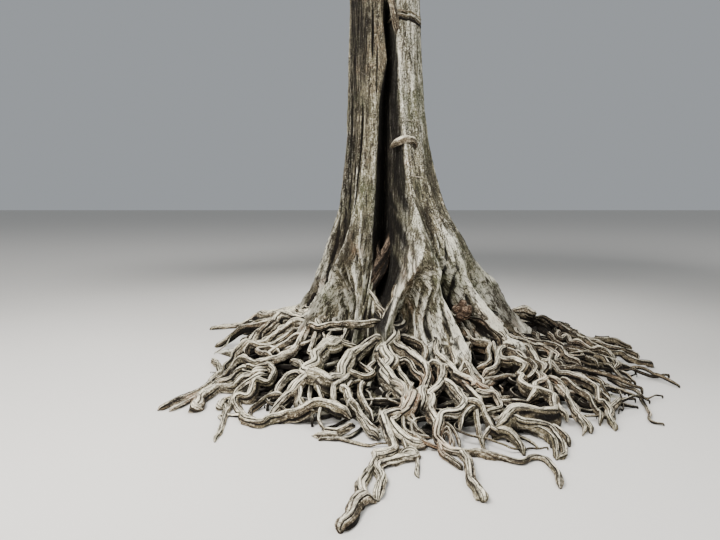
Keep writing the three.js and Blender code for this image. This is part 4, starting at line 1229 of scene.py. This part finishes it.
def makeBark(name, look):
    material, start, shader = newMaterial(name)
    flows = name == "trunkBark"
    if flows:
        grain = start.make("ShaderNodeAttribute", {"attribute_name": "flow"}, output=1)
    else:
        grain = start.make("ShaderNodeUVMap", {"uv_map": "grain"})
    place = start.make("ShaderNodeTexCoord", output=3)
    # painted shade, and paleness that is partly wear and partly painted highlight
    deep = attributeWire(start, "deep")
    worn = attributeWire(start, "worn")
    tint = attributeWire(start, "tint")

    def grainNoise(key):
        across, along, detail = grainNoises[key]
        across, along = across * look["fine"], along * look["fine"]
        scale = (across, across, along) if flows else (across, along, 1.0)
        stretched = start.make("ShaderNodeMapping", None, {"Vector": grain, "Scale": scale})
        return noiseWire(start, stretched, 1.0, detail, 0.62)

    fibres = grainNoise("fibres")
    threads = grainNoise("threads")
    cracks = crackWire(grainNoise("cracks"), 0.035) * 0.8 + crackWire(grainNoise("fineCracks"), 0.05) * 0.5
    blotches, specks, broad = (noiseWire(start, place, *scale) for scale in spaceNoises.values())
    up = 1.0  # 0 at the foot of the trunk, 1 higher up and on the other pieces
    if flows:
        up = start.make("ShaderNodeSeparateXYZ", None, {"Vector": place}, output=2).limited(0.7, 1.7)
    streaks = grainNoise("streaks")
    tone = (fibres * 0.35 + blotches * 0.2 + threads * 0.25 + specks * 0.2).limited(0.43, 0.58)
    colour = tone.tinted(look["dark"], look["middle"])
    hairs = grainNoise("hairs")
    # wear and painted highlight make the bark paler
    pale = worn * look["worn"] + (fibres - 0.5) * 1.5 + (threads - 0.5) * 1.2 + (blotches - 0.5) * 0.9
    pale = pale + (tint - 0.5) * 0.6 + (hairs - 0.5) * look["hairs"]
    pale = pale + (specks - 0.5) * look["specks"] * (0.35 + 0.65 * up)
    pale = (pale + (streaks - 0.5) * look["streaks"] * (2.0 - up)).limited(0.12, 0.8)
    colour = (pale * look["palest"] * (0.85 + 0.15 * up)).tinted(colour, look["light"])
    rust = (broad * 0.6 + blotches * 0.4).limited(0.55, 0.66) * fibres.limited(0.35, 0.6) * (0.75 - 0.25 * up)
    colour = rust.tinted(colour, look["rust"])
    moss = (1 - (broad * 0.65 + blotches * 0.35)).limited(0.47, 0.62) * look["mossShare"]
    colour = moss.tinted(colour, look["moss"])
    flecks = specks.limited(0.58, 0.66) * (0.25 + 0.35 * up)
    colour = flecks.tinted(colour, look["light"])
    pits = (1 - specks).limited(0.57, 0.66) * (0.25 + 0.55 * up)
    colour = pits.tinted(colour, look["dark"])
    lichen = blotches * 0.6 + specks * 0.4 + attributeWire(start, "lichen") * 0.15
    lichen = lichen.limited(look["lichenFrom"], look["lichenFrom"] + 0.05)
    colour = (lichen * 0.8).tinted(colour, look["lichen"])
    colour = (cracks.limited(0.05, 1.0) * look["cracks"]).tinted(colour, darkest["crack"])
    shade = (1 - streaks).limited(0.48, 0.62) * (1.1 - tint) * look["streaks"] * (0.8 - 0.35 * up)
    colour = shade.tinted(colour, look["dark"])
    # painted shade: darkens towards the shade colour
    dark = deep.limited(0.0, 0.7) * (1.5 - fibres * 0.7 - threads * 0.4)
    colour = dark.limited(0.0, 1.0).tinted(colour, darkest["hollow"])
    start.tree.links.new(colour.socket, shader.inputs["Base Color"])
    shader.inputs["Specular IOR Level"].default_value = 0.2
    rough = 0.95 - pale * 0.25
    start.tree.links.new(rough.socket, shader.inputs["Roughness"])
    height = fibres * 0.6 + threads * 0.4 + hairs * 0.2 + specks * 0.3 - cracks * 0.6
    bump = start.make("ShaderNodeBump", None,
                      {"Strength": look["relief"], "Distance": 0.008, "Height": height})
    start.tree.links.new(bump.socket, shader.inputs["Normal"])
    return material


leafTints = {
    "leafDeep": paint(38, 66, 26), "leafMiddle": paint(54, 88, 34), "leafBright": paint(78, 112, 44),
    "leafYoung": paint(112, 134, 58),
}
plainFinishes = {"leafRoughness": 0.42, "twig": paint(104, 94, 72), "twigRoughness": 0.8}


def makePlain(name, colour, roughness):
    material, _, shader = newMaterial(name)
    shader.inputs["Base Color"].default_value = colour
    shader.inputs["Roughness"].default_value = roughness
    return material


def makeMaterials():
    made = {name: makeBark(name, look) for name, look in barkLooks.items()}
    made["twig"] = makePlain("twig", plainFinishes["twig"], plainFinishes["twigRoughness"])
    for name, colour in leafTints.items():
        made[name] = makePlain(name, colour, plainFinishes["leafRoughness"])
    return made


# Boughs and limbs: the solids' own lines
boughs = {
    "count": 4, "turn": -62, "tipRadius": 2.15, "tipHeight": 6.85, "thick": 0.33, "thin": 0.215, "sink": 0.26,
}
leader = {"height": 8.9, "lean": 0.24, "thick": 0.34, "thin": 0.2, "sink": 0.15}
limbs = {
    "thick": 0.185, "thin": 0.095, "sag": 0.05, "intoMass": 0.28, "step": 0.03, "sides": 22,
    "collar": 0.28, "collarLength": 0.18,
}
tiers = [  # name, count, radius, height, half width, half height, first bearing
    ("low", 6, 4.3, 7.4, 2.35, 1.75, -80), ("mid", 4, 2.6, 9.75, 2.35, 1.75, -62),
    ("top", 3, 1.45, 11.9, 2.2, 1.8, -40),
]
uneven = {"turn": 0.22, "radius": 0.12, "height": 0.4, "size": 0.12}
twigs = {"perMass": 7, "reach": 0.66, "stemThin": 0.06, "thick": 0.042, "thin": 0.026, "sprays": 3}
seeds = {"layout": 41, "mass": 700}
goldenTurn = 137.5


def crownMasses():
    random = SeededRandom(seeds["layout"])
    masses = []
    for name, count, radius, height, wide, tall, first in tiers:
        for i in range(count):
            turn = first + 360 / count * (i + uneven["turn"] * (random() - 0.5))
            distance = radius * (1 + uneven["radius"] * (random() - 0.5))
            rise = height + uneven["height"] * (random() - 0.5)
            size = 1 + uneven["size"] * (random() - 0.5)
            masses.append({"name": f"{name}_{i + 1}", "tier": name, "middle": bearing(turn, distance, rise),
                           "half": np.array([wide, wide, tall]) * size})
    return masses


def boughLine(index):
    turn = boughs["turn"] + 360 / boughs["count"] * index
    out, fork = boughs["tipRadius"], trunk["forkHeight"]
    rise = boughs["tipHeight"] - fork
    return curveThrough([
        bearing(turn, out * 0.03, fork - boughs["sink"]), bearing(turn, out * 0.3, fork + rise * 0.22),
        bearing(turn - 7, out * 0.66, fork + rise * 0.68), bearing(turn, out, boughs["tipHeight"])],
        step=limbs["step"])


def leaderLine():
    fork = trunk["forkHeight"]
    rise = leader["height"] - fork
    return curveThrough([
        bearing(0, 0, fork - leader["sink"]), bearing(40, leader["lean"], fork + rise * 0.35),
        bearing(130, leader["lean"], fork + rise * 0.7),
        bearing(200, leader["lean"] * 0.4, leader["height"])], step=limbs["step"])


def limbLine(start, mass):
    way = np.linalg.norm(mass["middle"] - start)
    end = start + (mass["middle"] - start) * max(0.3, 1 - (1 - limbs["intoMass"]) * mass["half"][2] / way)
    bow = (start + end) / 2 - np.array([0, 0, way * limbs["sag"]])
    return curveThrough([start, bow, end], step=limbs["step"])


def makeLimb(node, line, thick, thin, seed):
    share = np.linspace(0, 1, len(line))
    collar = 1 + limbs["collar"] * np.exp(-share * len(line) * limbs["step"] / limbs["collarLength"])
    radii = 0.5 * (thick + (thin - thick) * share) * collar
    tube = Tube(line, radii, limbs["sides"], (1, 0, 0.2), crease=0.1, rough=0.007, seed=seed)
    points, quads, triangles, grain, _, lifted, tint = joinTubes([tube])
    # painted shade under the limb; paler top, partly wear and partly painted highlight
    values = {"deep": np.clip(-lifted, 0, 1) * 0.15, "worn": np.clip(lifted, 0, 1) * 0.3, "tint": tint}
    piece = makePiece(camelName(node), points, quads, triangles, grain, values)
    settle(piece, ["limbBark"], node)


def makeLimbs(masses):
    lines = [boughLine(i) for i in range(boughs["count"])]
    for i, line in enumerate(lines):
        makeLimb(f"bough_{i + 1}", line, boughs["thick"], boughs["thin"], 50 + i)
    top = leaderLine()
    makeLimb("bough_leader", top, leader["thick"], leader["thin"], 60)
    ends = []
    for i, mass in enumerate(masses):
        nearest = min(lines, key=lambda line: np.linalg.norm(line[-1] - mass["middle"]))
        parent = top if mass["tier"] == "top" else nearest
        line = limbLine(parent[int(0.97 * (len(parent) - 1))], mass)
        makeLimb("limb_" + mass["name"], line, limbs["thick"], limbs["thin"], 70 + i)
        ends.append(line)
    return lines + [top] + ends, ends


# Crown: the solids' rule, with each spray carried to finer twigs and single leaves
crown = {
    "extraSprays": 9, "extraSeed": 5000, "templates": 6, "templateSeed": 900, "reach": 1.1, "sideTwigs": 8,
    "leavesPerTwig": 8, "tipLeaves": 10, "leaf": 0.165, "leafSizes": (0.8, 1.12),
    "sizes": [1, 0.8, 0.62, 0.48], "edge": 0.015, "past": 0.12, "clear": 0.12,
}
leafOutline = np.array([
    [0, 0, 0], [0.36, 0, -0.02], [0.72, 0, -0.05], [1, 0, -0.13],
    [0.28, 0.2, 0.035], [0.66, 0.2, 0.0], [0.28, -0.2, 0.035], [0.66, -0.2, 0.0]])
leafFaces = np.array([[0, 1, 4], [1, 5, 4], [1, 2, 5], [2, 3, 5], [0, 6, 1], [1, 6, 7], [1, 7, 2], [2, 7, 3]])


def inSpace(points, mass, masses):
    off = points - mass["middle"]
    inside = np.linalg.norm(off / mass["half"], axis=-1) < 1
    for other in masses:
        if other is not mass:
            between = other["middle"] - mass["middle"]
            length = np.linalg.norm(between)
            inside &= off @ between / length < length / 2 - crown["edge"]
    return inside


def turned(vector, axis, degrees):
    angle = math.radians(degrees)
    return (vector * math.cos(angle) + np.cross(axis, vector) * math.sin(angle)
            + axis * (axis @ vector) * (1 - math.cos(angle)))


# A thin closed twig with a three-sided section, as points and triangles
def thinTwig(path, thick, thin):
    count = len(path)
    ahead = unit(path[-1] - path[0])
    side = unit(np.cross(ahead, (0.1, 0.2, 1)))
    up = np.cross(side, ahead)
    rings = []
    for i, point in enumerate(path):
        radius = (thick + (thin - thick) * i / (count - 1)) / 2
        rings += [point + radius * (side * math.cos(a) - up * math.sin(a)) for a in (0, 2.094, 4.189)]
    faces = []
    for i in range(count - 1):
        for k in range(3):
            a, b = 3 * i + k, 3 * i + (k + 1) % 3
            faces += [(a, b, b + 3), (a, b + 3, a + 3)]
    faces += [(2, 1, 0), (3 * count - 3, 3 * count - 2, 3 * count - 1)]
    return np.array(rings), np.array(faces)


def leafAt(place, along, roll, length):
    along = unit(along)
    side = unit(np.cross((0, 0, 1), along))
    side = turned(side, along, roll)
    up = np.cross(along, side)
    return place + length * (leafOutline @ np.stack([along, side, up]))


# One spray lying along +X: its axis, side twigs to both sides and leaves on them, in metres
def sprayTemplate(seed):
    random = SeededRandom(seed)
    reach = crown["reach"]
    bow = random.between(-0.05, 0.05)
    axisAt = lambda s: np.array([reach * s, bow * math.sin(3 * s), -0.1 * s * s])
    axis = thinTwig(np.array([axisAt(s) for s in (0, 0.25, 0.5, 0.75, 1)]), 0.013, 0.005)
    sideTwigs, leaves = [], []

    def addLeaf(place, along, order):
        fan = (1 if order % 2 else -1) * random.between(38, 68)
        heading = turned(along, np.array([0.0, 0.0, 1.0]), fan)
        heading = heading + (0, 0, random.between(-0.5, 0.1))
        roll = random.between(-32, 32)
        leaves.append(leafAt(place, heading, roll, crown["leaf"] * random.between(*crown["leafSizes"])))

    for i in range(crown["sideTwigs"]):
        share = 0.14 + 0.8 * i / crown["sideTwigs"]
        start = axisAt(share)
        fan = (1 if i % 2 else -1) * random.between(38, 62)
        angle = math.radians(fan)
        along = np.array([math.cos(angle), math.sin(angle), random.between(-0.25, 0.3)])
        length = random.between(0.4, 0.55) * (1.05 - 0.45 * share)
        end = start + unit(along) * length
        middle = (start + end) / 2 + (0, 0, 0.03)
        sideTwigs.append(thinTwig(np.array([start, middle, end]), 0.007, 0.003))
        for k in range(crown["leavesPerTwig"]):
            spot = 0.22 + 0.78 * k / (crown["leavesPerTwig"] - 1)
            place = start + (end - start) * spot + (0, 0, 0.12 * spot * (1 - spot))
            addLeaf(place, unit(along), k)
    for k in range(crown["tipLeaves"]):
        share = 0.5 + 0.5 * k / (crown["tipLeaves"] - 1)
        addLeaf(axisAt(share), np.array([1.0, 0.0, 0.0]), k)
    return axis, sideTwigs, np.array(leaves)


# Where a mass's twigs and sprays go
def growMass(index, mass, masses, limb, allLines):
    random = SeededRandom(seeds["mass"] + index)
    extra = SeededRandom(crown["extraSeed"] + index)
    away = unit(limb[-1] - limb[-2])
    foot, middle = limb[-1], mass["middle"]
    bend = foot + away * np.linalg.norm(foot - middle) / 2
    t = np.linspace(0, 1, 41)[:, None]
    stem = foot * (1 - t) ** 2 + 2 * bend * t * (1 - t) + middle * t ** 2
    path = curveThrough(stem[::8], step=0.12)
    radii = np.linspace(0.5 * limbs["thin"], 0.5 * twigs["stemThin"], len(path))
    tubes = [Tube(path, radii, 10, (0.3, 0.2, 1), crease=0.08, rough=0.004, seed=index)]
    run = runAlong(stem)
    spin = random() * 360
    found = []
    for k in range(twigs["perMass"]):
        lift = 1 - 2 * (k + 0.5) / twigs["perMass"]
        aim = bearing(spin + k * goldenTurn, math.sqrt(1 - lift * lift), lift)
        tip = aim * mass["half"] * twigs["reach"] + middle
        spot = (0.45 + 0.5 * random()) * run[-1]
        root = np.array([np.interp(spot, run, stem[:, j]) for j in range(3)])
        heading = unit(tip - root)
        across = unit(np.array([-heading[1], heading[0], 0]))
        upward = np.cross(heading, across)
        grows = bool(inSpace(tip, mass, masses))
        way = np.linalg.norm(tip - root)
        sag = np.array([0, 0, -0.04 * way])
        lineAt = lambda s: root + (tip - root) * s + sag * math.sin(math.pi * s)
        if grows:
            path = curveThrough([lineAt(s) for s in (0, 0.25, 0.5, 0.75, 1)], step=0.16)
            tubes.append(Tube(path, np.linspace(0.5 * twigs["thick"], 0.35 * twigs["thin"], len(path)), 8,
                              upward, crease=0.06, rough=0.003, seed=index * 8 + k))
        wanted = []
        for n in range(twigs["sprays"] + 1):
            atTip = n == twigs["sprays"]
            fan = 0 if atTip else (1 if n % 2 else -1) * (45 + 30 * random())
            share = 0.96 if atTip else 0.38 + 0.5 * n / twigs["sprays"] + 0.08 * random()
            along = turned(heading, upward, fan)
            along = unit(along - (0, 0, 0.1 + 0.2 * random()))
            wanted.append((share, along, (random() - 0.5) * 70, upward))
        for n in range(crown["extraSprays"]):
            share = 0.22 + 0.78 * (n + extra()) / crown["extraSprays"]
            normal = turned(upward, heading, n * goldenTurn + 40 * extra())
            along = turned(heading, normal, extra.between(30, 80))
            along = unit(along - (0, 0, 0.05 + 0.25 * extra()))
            level = (0, 0, 1) if abs(along[2]) < 0.8 else upward
            wanted.append((share, along, (extra() - 0.5) * 60, np.asarray(level, float)))
        for share, along, roll, level in wanted:
            up = turned(unit(level - along * (level @ along)), along, roll)
            start = lineAt(share)
            for size in crown["sizes"]:
                end = start + along * crown["reach"] * size
                middleWay = start + along * crown["reach"] * size * 0.5
                near = min(np.linalg.norm(line - spot, axis=1).min()
                           for line in allLines for spot in (middleWay, end))
                if grows and inSpace(end, mass, masses) and near > crown["clear"]:
                    found.append((start, np.stack([along, np.cross(up, along), up], 1), size, extra()))
                    break
    return tubes, found


def makeFoliage(masses, massLines, allLines):
    templates = [sprayTemplate(crown["templateSeed"] + i) for i in range(crown["templates"])]
    leafCount = 0
    for index, (mass, limb) in enumerate(zip(masses, massLines)):
        tubes, found = growMass(index, mass, masses, limb, allLines)
        points, quads, triangles, *_ = joinTubes(tubes)
        triangles = [triangles, quads[:, [0, 1, 2]], quads[:, [0, 2, 3]]]
        twigPoints, leafPoints, leafTint = [points], [], []
        total = len(points)
        for t, (axis, sideTwigs, leaves) in enumerate(templates):
            chosen = found[t::len(templates)]
            place = np.array([f[0] for f in chosen])
            turn = np.array([f[1] * f[2] for f in chosen])
            shade = np.array([f[3] for f in chosen])
            for shape, faces in [axis] + sideTwigs:
                moved = np.einsum("nij,pj->npi", turn, shape) + place[:, None]
                moved = moved[inSpace(moved[:, -1], mass, masses)]
                first = total + np.arange(len(moved))[:, None, None] * len(shape)
                triangles.append((first + faces[None]).reshape(-1, 3))
                twigPoints.append(moved.reshape(-1, 3))
                total += moved.shape[0] * moved.shape[1]
            moved = np.einsum("nij,lpj->nlpi", turn, leaves) + place[:, None, None]
            middles = moved.mean(2)
            kept = inSpace(middles, mass, masses)
            low, high = cadBox[0] - crown["past"], cadBox[1] + crown["past"]
            kept &= np.all((middles > low) & (middles < high), axis=-1)
            leafPoints.append(moved[kept].reshape(-1, 3))
            leafTint.append(np.broadcast_to(shade[:, None], kept.shape)[kept])
        name = mass["name"].title().replace("_", "")
        none = np.zeros((0, 4), int)
        twigPiece = makePiece("twigs" + name, np.vstack(twigPoints), none, np.vstack(triangles))
        settle(twigPiece, ["twig"], "foliage_" + mass["name"])
        leafPoints, leafTint = np.vstack(leafPoints), np.concatenate(leafTint)
        first = np.arange(len(leafTint))[:, None, None] * len(leafOutline)
        faces = (first + leafFaces[None]).reshape(-1, 3)
        leafPiece = makePiece("leaves" + name, leafPoints, none, faces)
        settle(leafPiece, leafTints, "foliage_" + mass["name"])
        which = np.minimum((leafTint * len(leafTints)).astype(np.int32), len(leafTints) - 1)
        leafPiece.data.polygons.foreach_set("material_index", np.repeat(which, len(leafFaces)))
        leafCount += len(leafTint)
    print("leaves", leafCount)


# Stage: plain pale floor, soft studio light
stage = {
    "floorSize": 900, "floor": paint(214, 210, 204), "floorRoughness": 0.9, "sky": paint(226, 232, 238),
    "skyStrength": 0.45,
}
lights = {  # name: place, aim, size, power, colour
    "key": ((-2.4, -4.0, 4.5), (0.1, -0.9, 0.3), 1.8, 350, (1, 0.98, 0.95)),
    "topRight": ((3.3, -2.4, 4.3), (0.6, -0.6, 0.2), 2.0, 130, (0.95, 0.98, 1)),
    "topBack": ((0.5, 3.6, 4.3), (0, 0.6, 0.2), 2.6, 160, (1, 1, 1)),
    "topLeft": ((-4.0, 0.5, 4.3), (-0.6, 0, 0.2), 2.2, 170, (1, 1, 1)),
    "front": ((-4, -13, 4.5), (0, 0, 1.5), 5, 600, (1, 0.98, 0.95)),
    "sky": ((-6, -14, 26), (0, 0, 8), 12, 6400, (1, 1, 1)),
}


def makeStage():
    bpy.ops.mesh.primitive_plane_add(size=stage["floorSize"], location=(0, 0, -0.002))
    floor = bpy.context.object
    floor.name = "floor"
    floor.data.materials.append(makePlain("floorPaint", stage["floor"], stage["floorRoughness"]))
    world = bpy.data.worlds.new("studio")
    world.use_nodes = True
    world.node_tree.nodes["Background"].inputs["Color"].default_value = stage["sky"]
    world.node_tree.nodes["Background"].inputs["Strength"].default_value = stage["skyStrength"]
    bpy.context.scene.world = world


def addLight(name, place, aim, size, power, colour):
    data = bpy.data.lights.new(name, "AREA")
    data.shape = "DISK"
    data.size = size
    data.energy = power
    data.color = colour
    lamp = bpy.data.objects.new(name, data)
    bpy.context.collection.objects.link(lamp)
    lamp.location = place
    away = np.asarray(place, float) - np.asarray(aim, float)
    flat = math.hypot(away[0], away[1])
    lamp.rotation_euler = (math.atan2(flat, away[2]), 0, math.atan2(away[0], -away[1]))
    lamp.visible_camera = False


makeCamera()
makeStage()
for lightName, look in lights.items():
    addLight(lightName, *look)
print("stage ready")
materials = makeMaterials()
makeTrunk()
makeTrunkDetails()
makeBurl()
print("trunk ready")
makeRoots()
print("roots ready")
masses = crownMasses()
allLines, massLines = makeLimbs(masses)
print("limbs ready")
makeFoliage(masses, massLines, allLines)
print("foliage ready")

counts = {p.name: sum(len(f.vertices) - 2 for f in p.data.polygons) for p in bpy.data.objects
          if p.type == "MESH" and not p.hide_render}
print("triangles", sum(counts.values()), "largest", sorted(counts.items(), key=lambda c: -c[1])[:4])
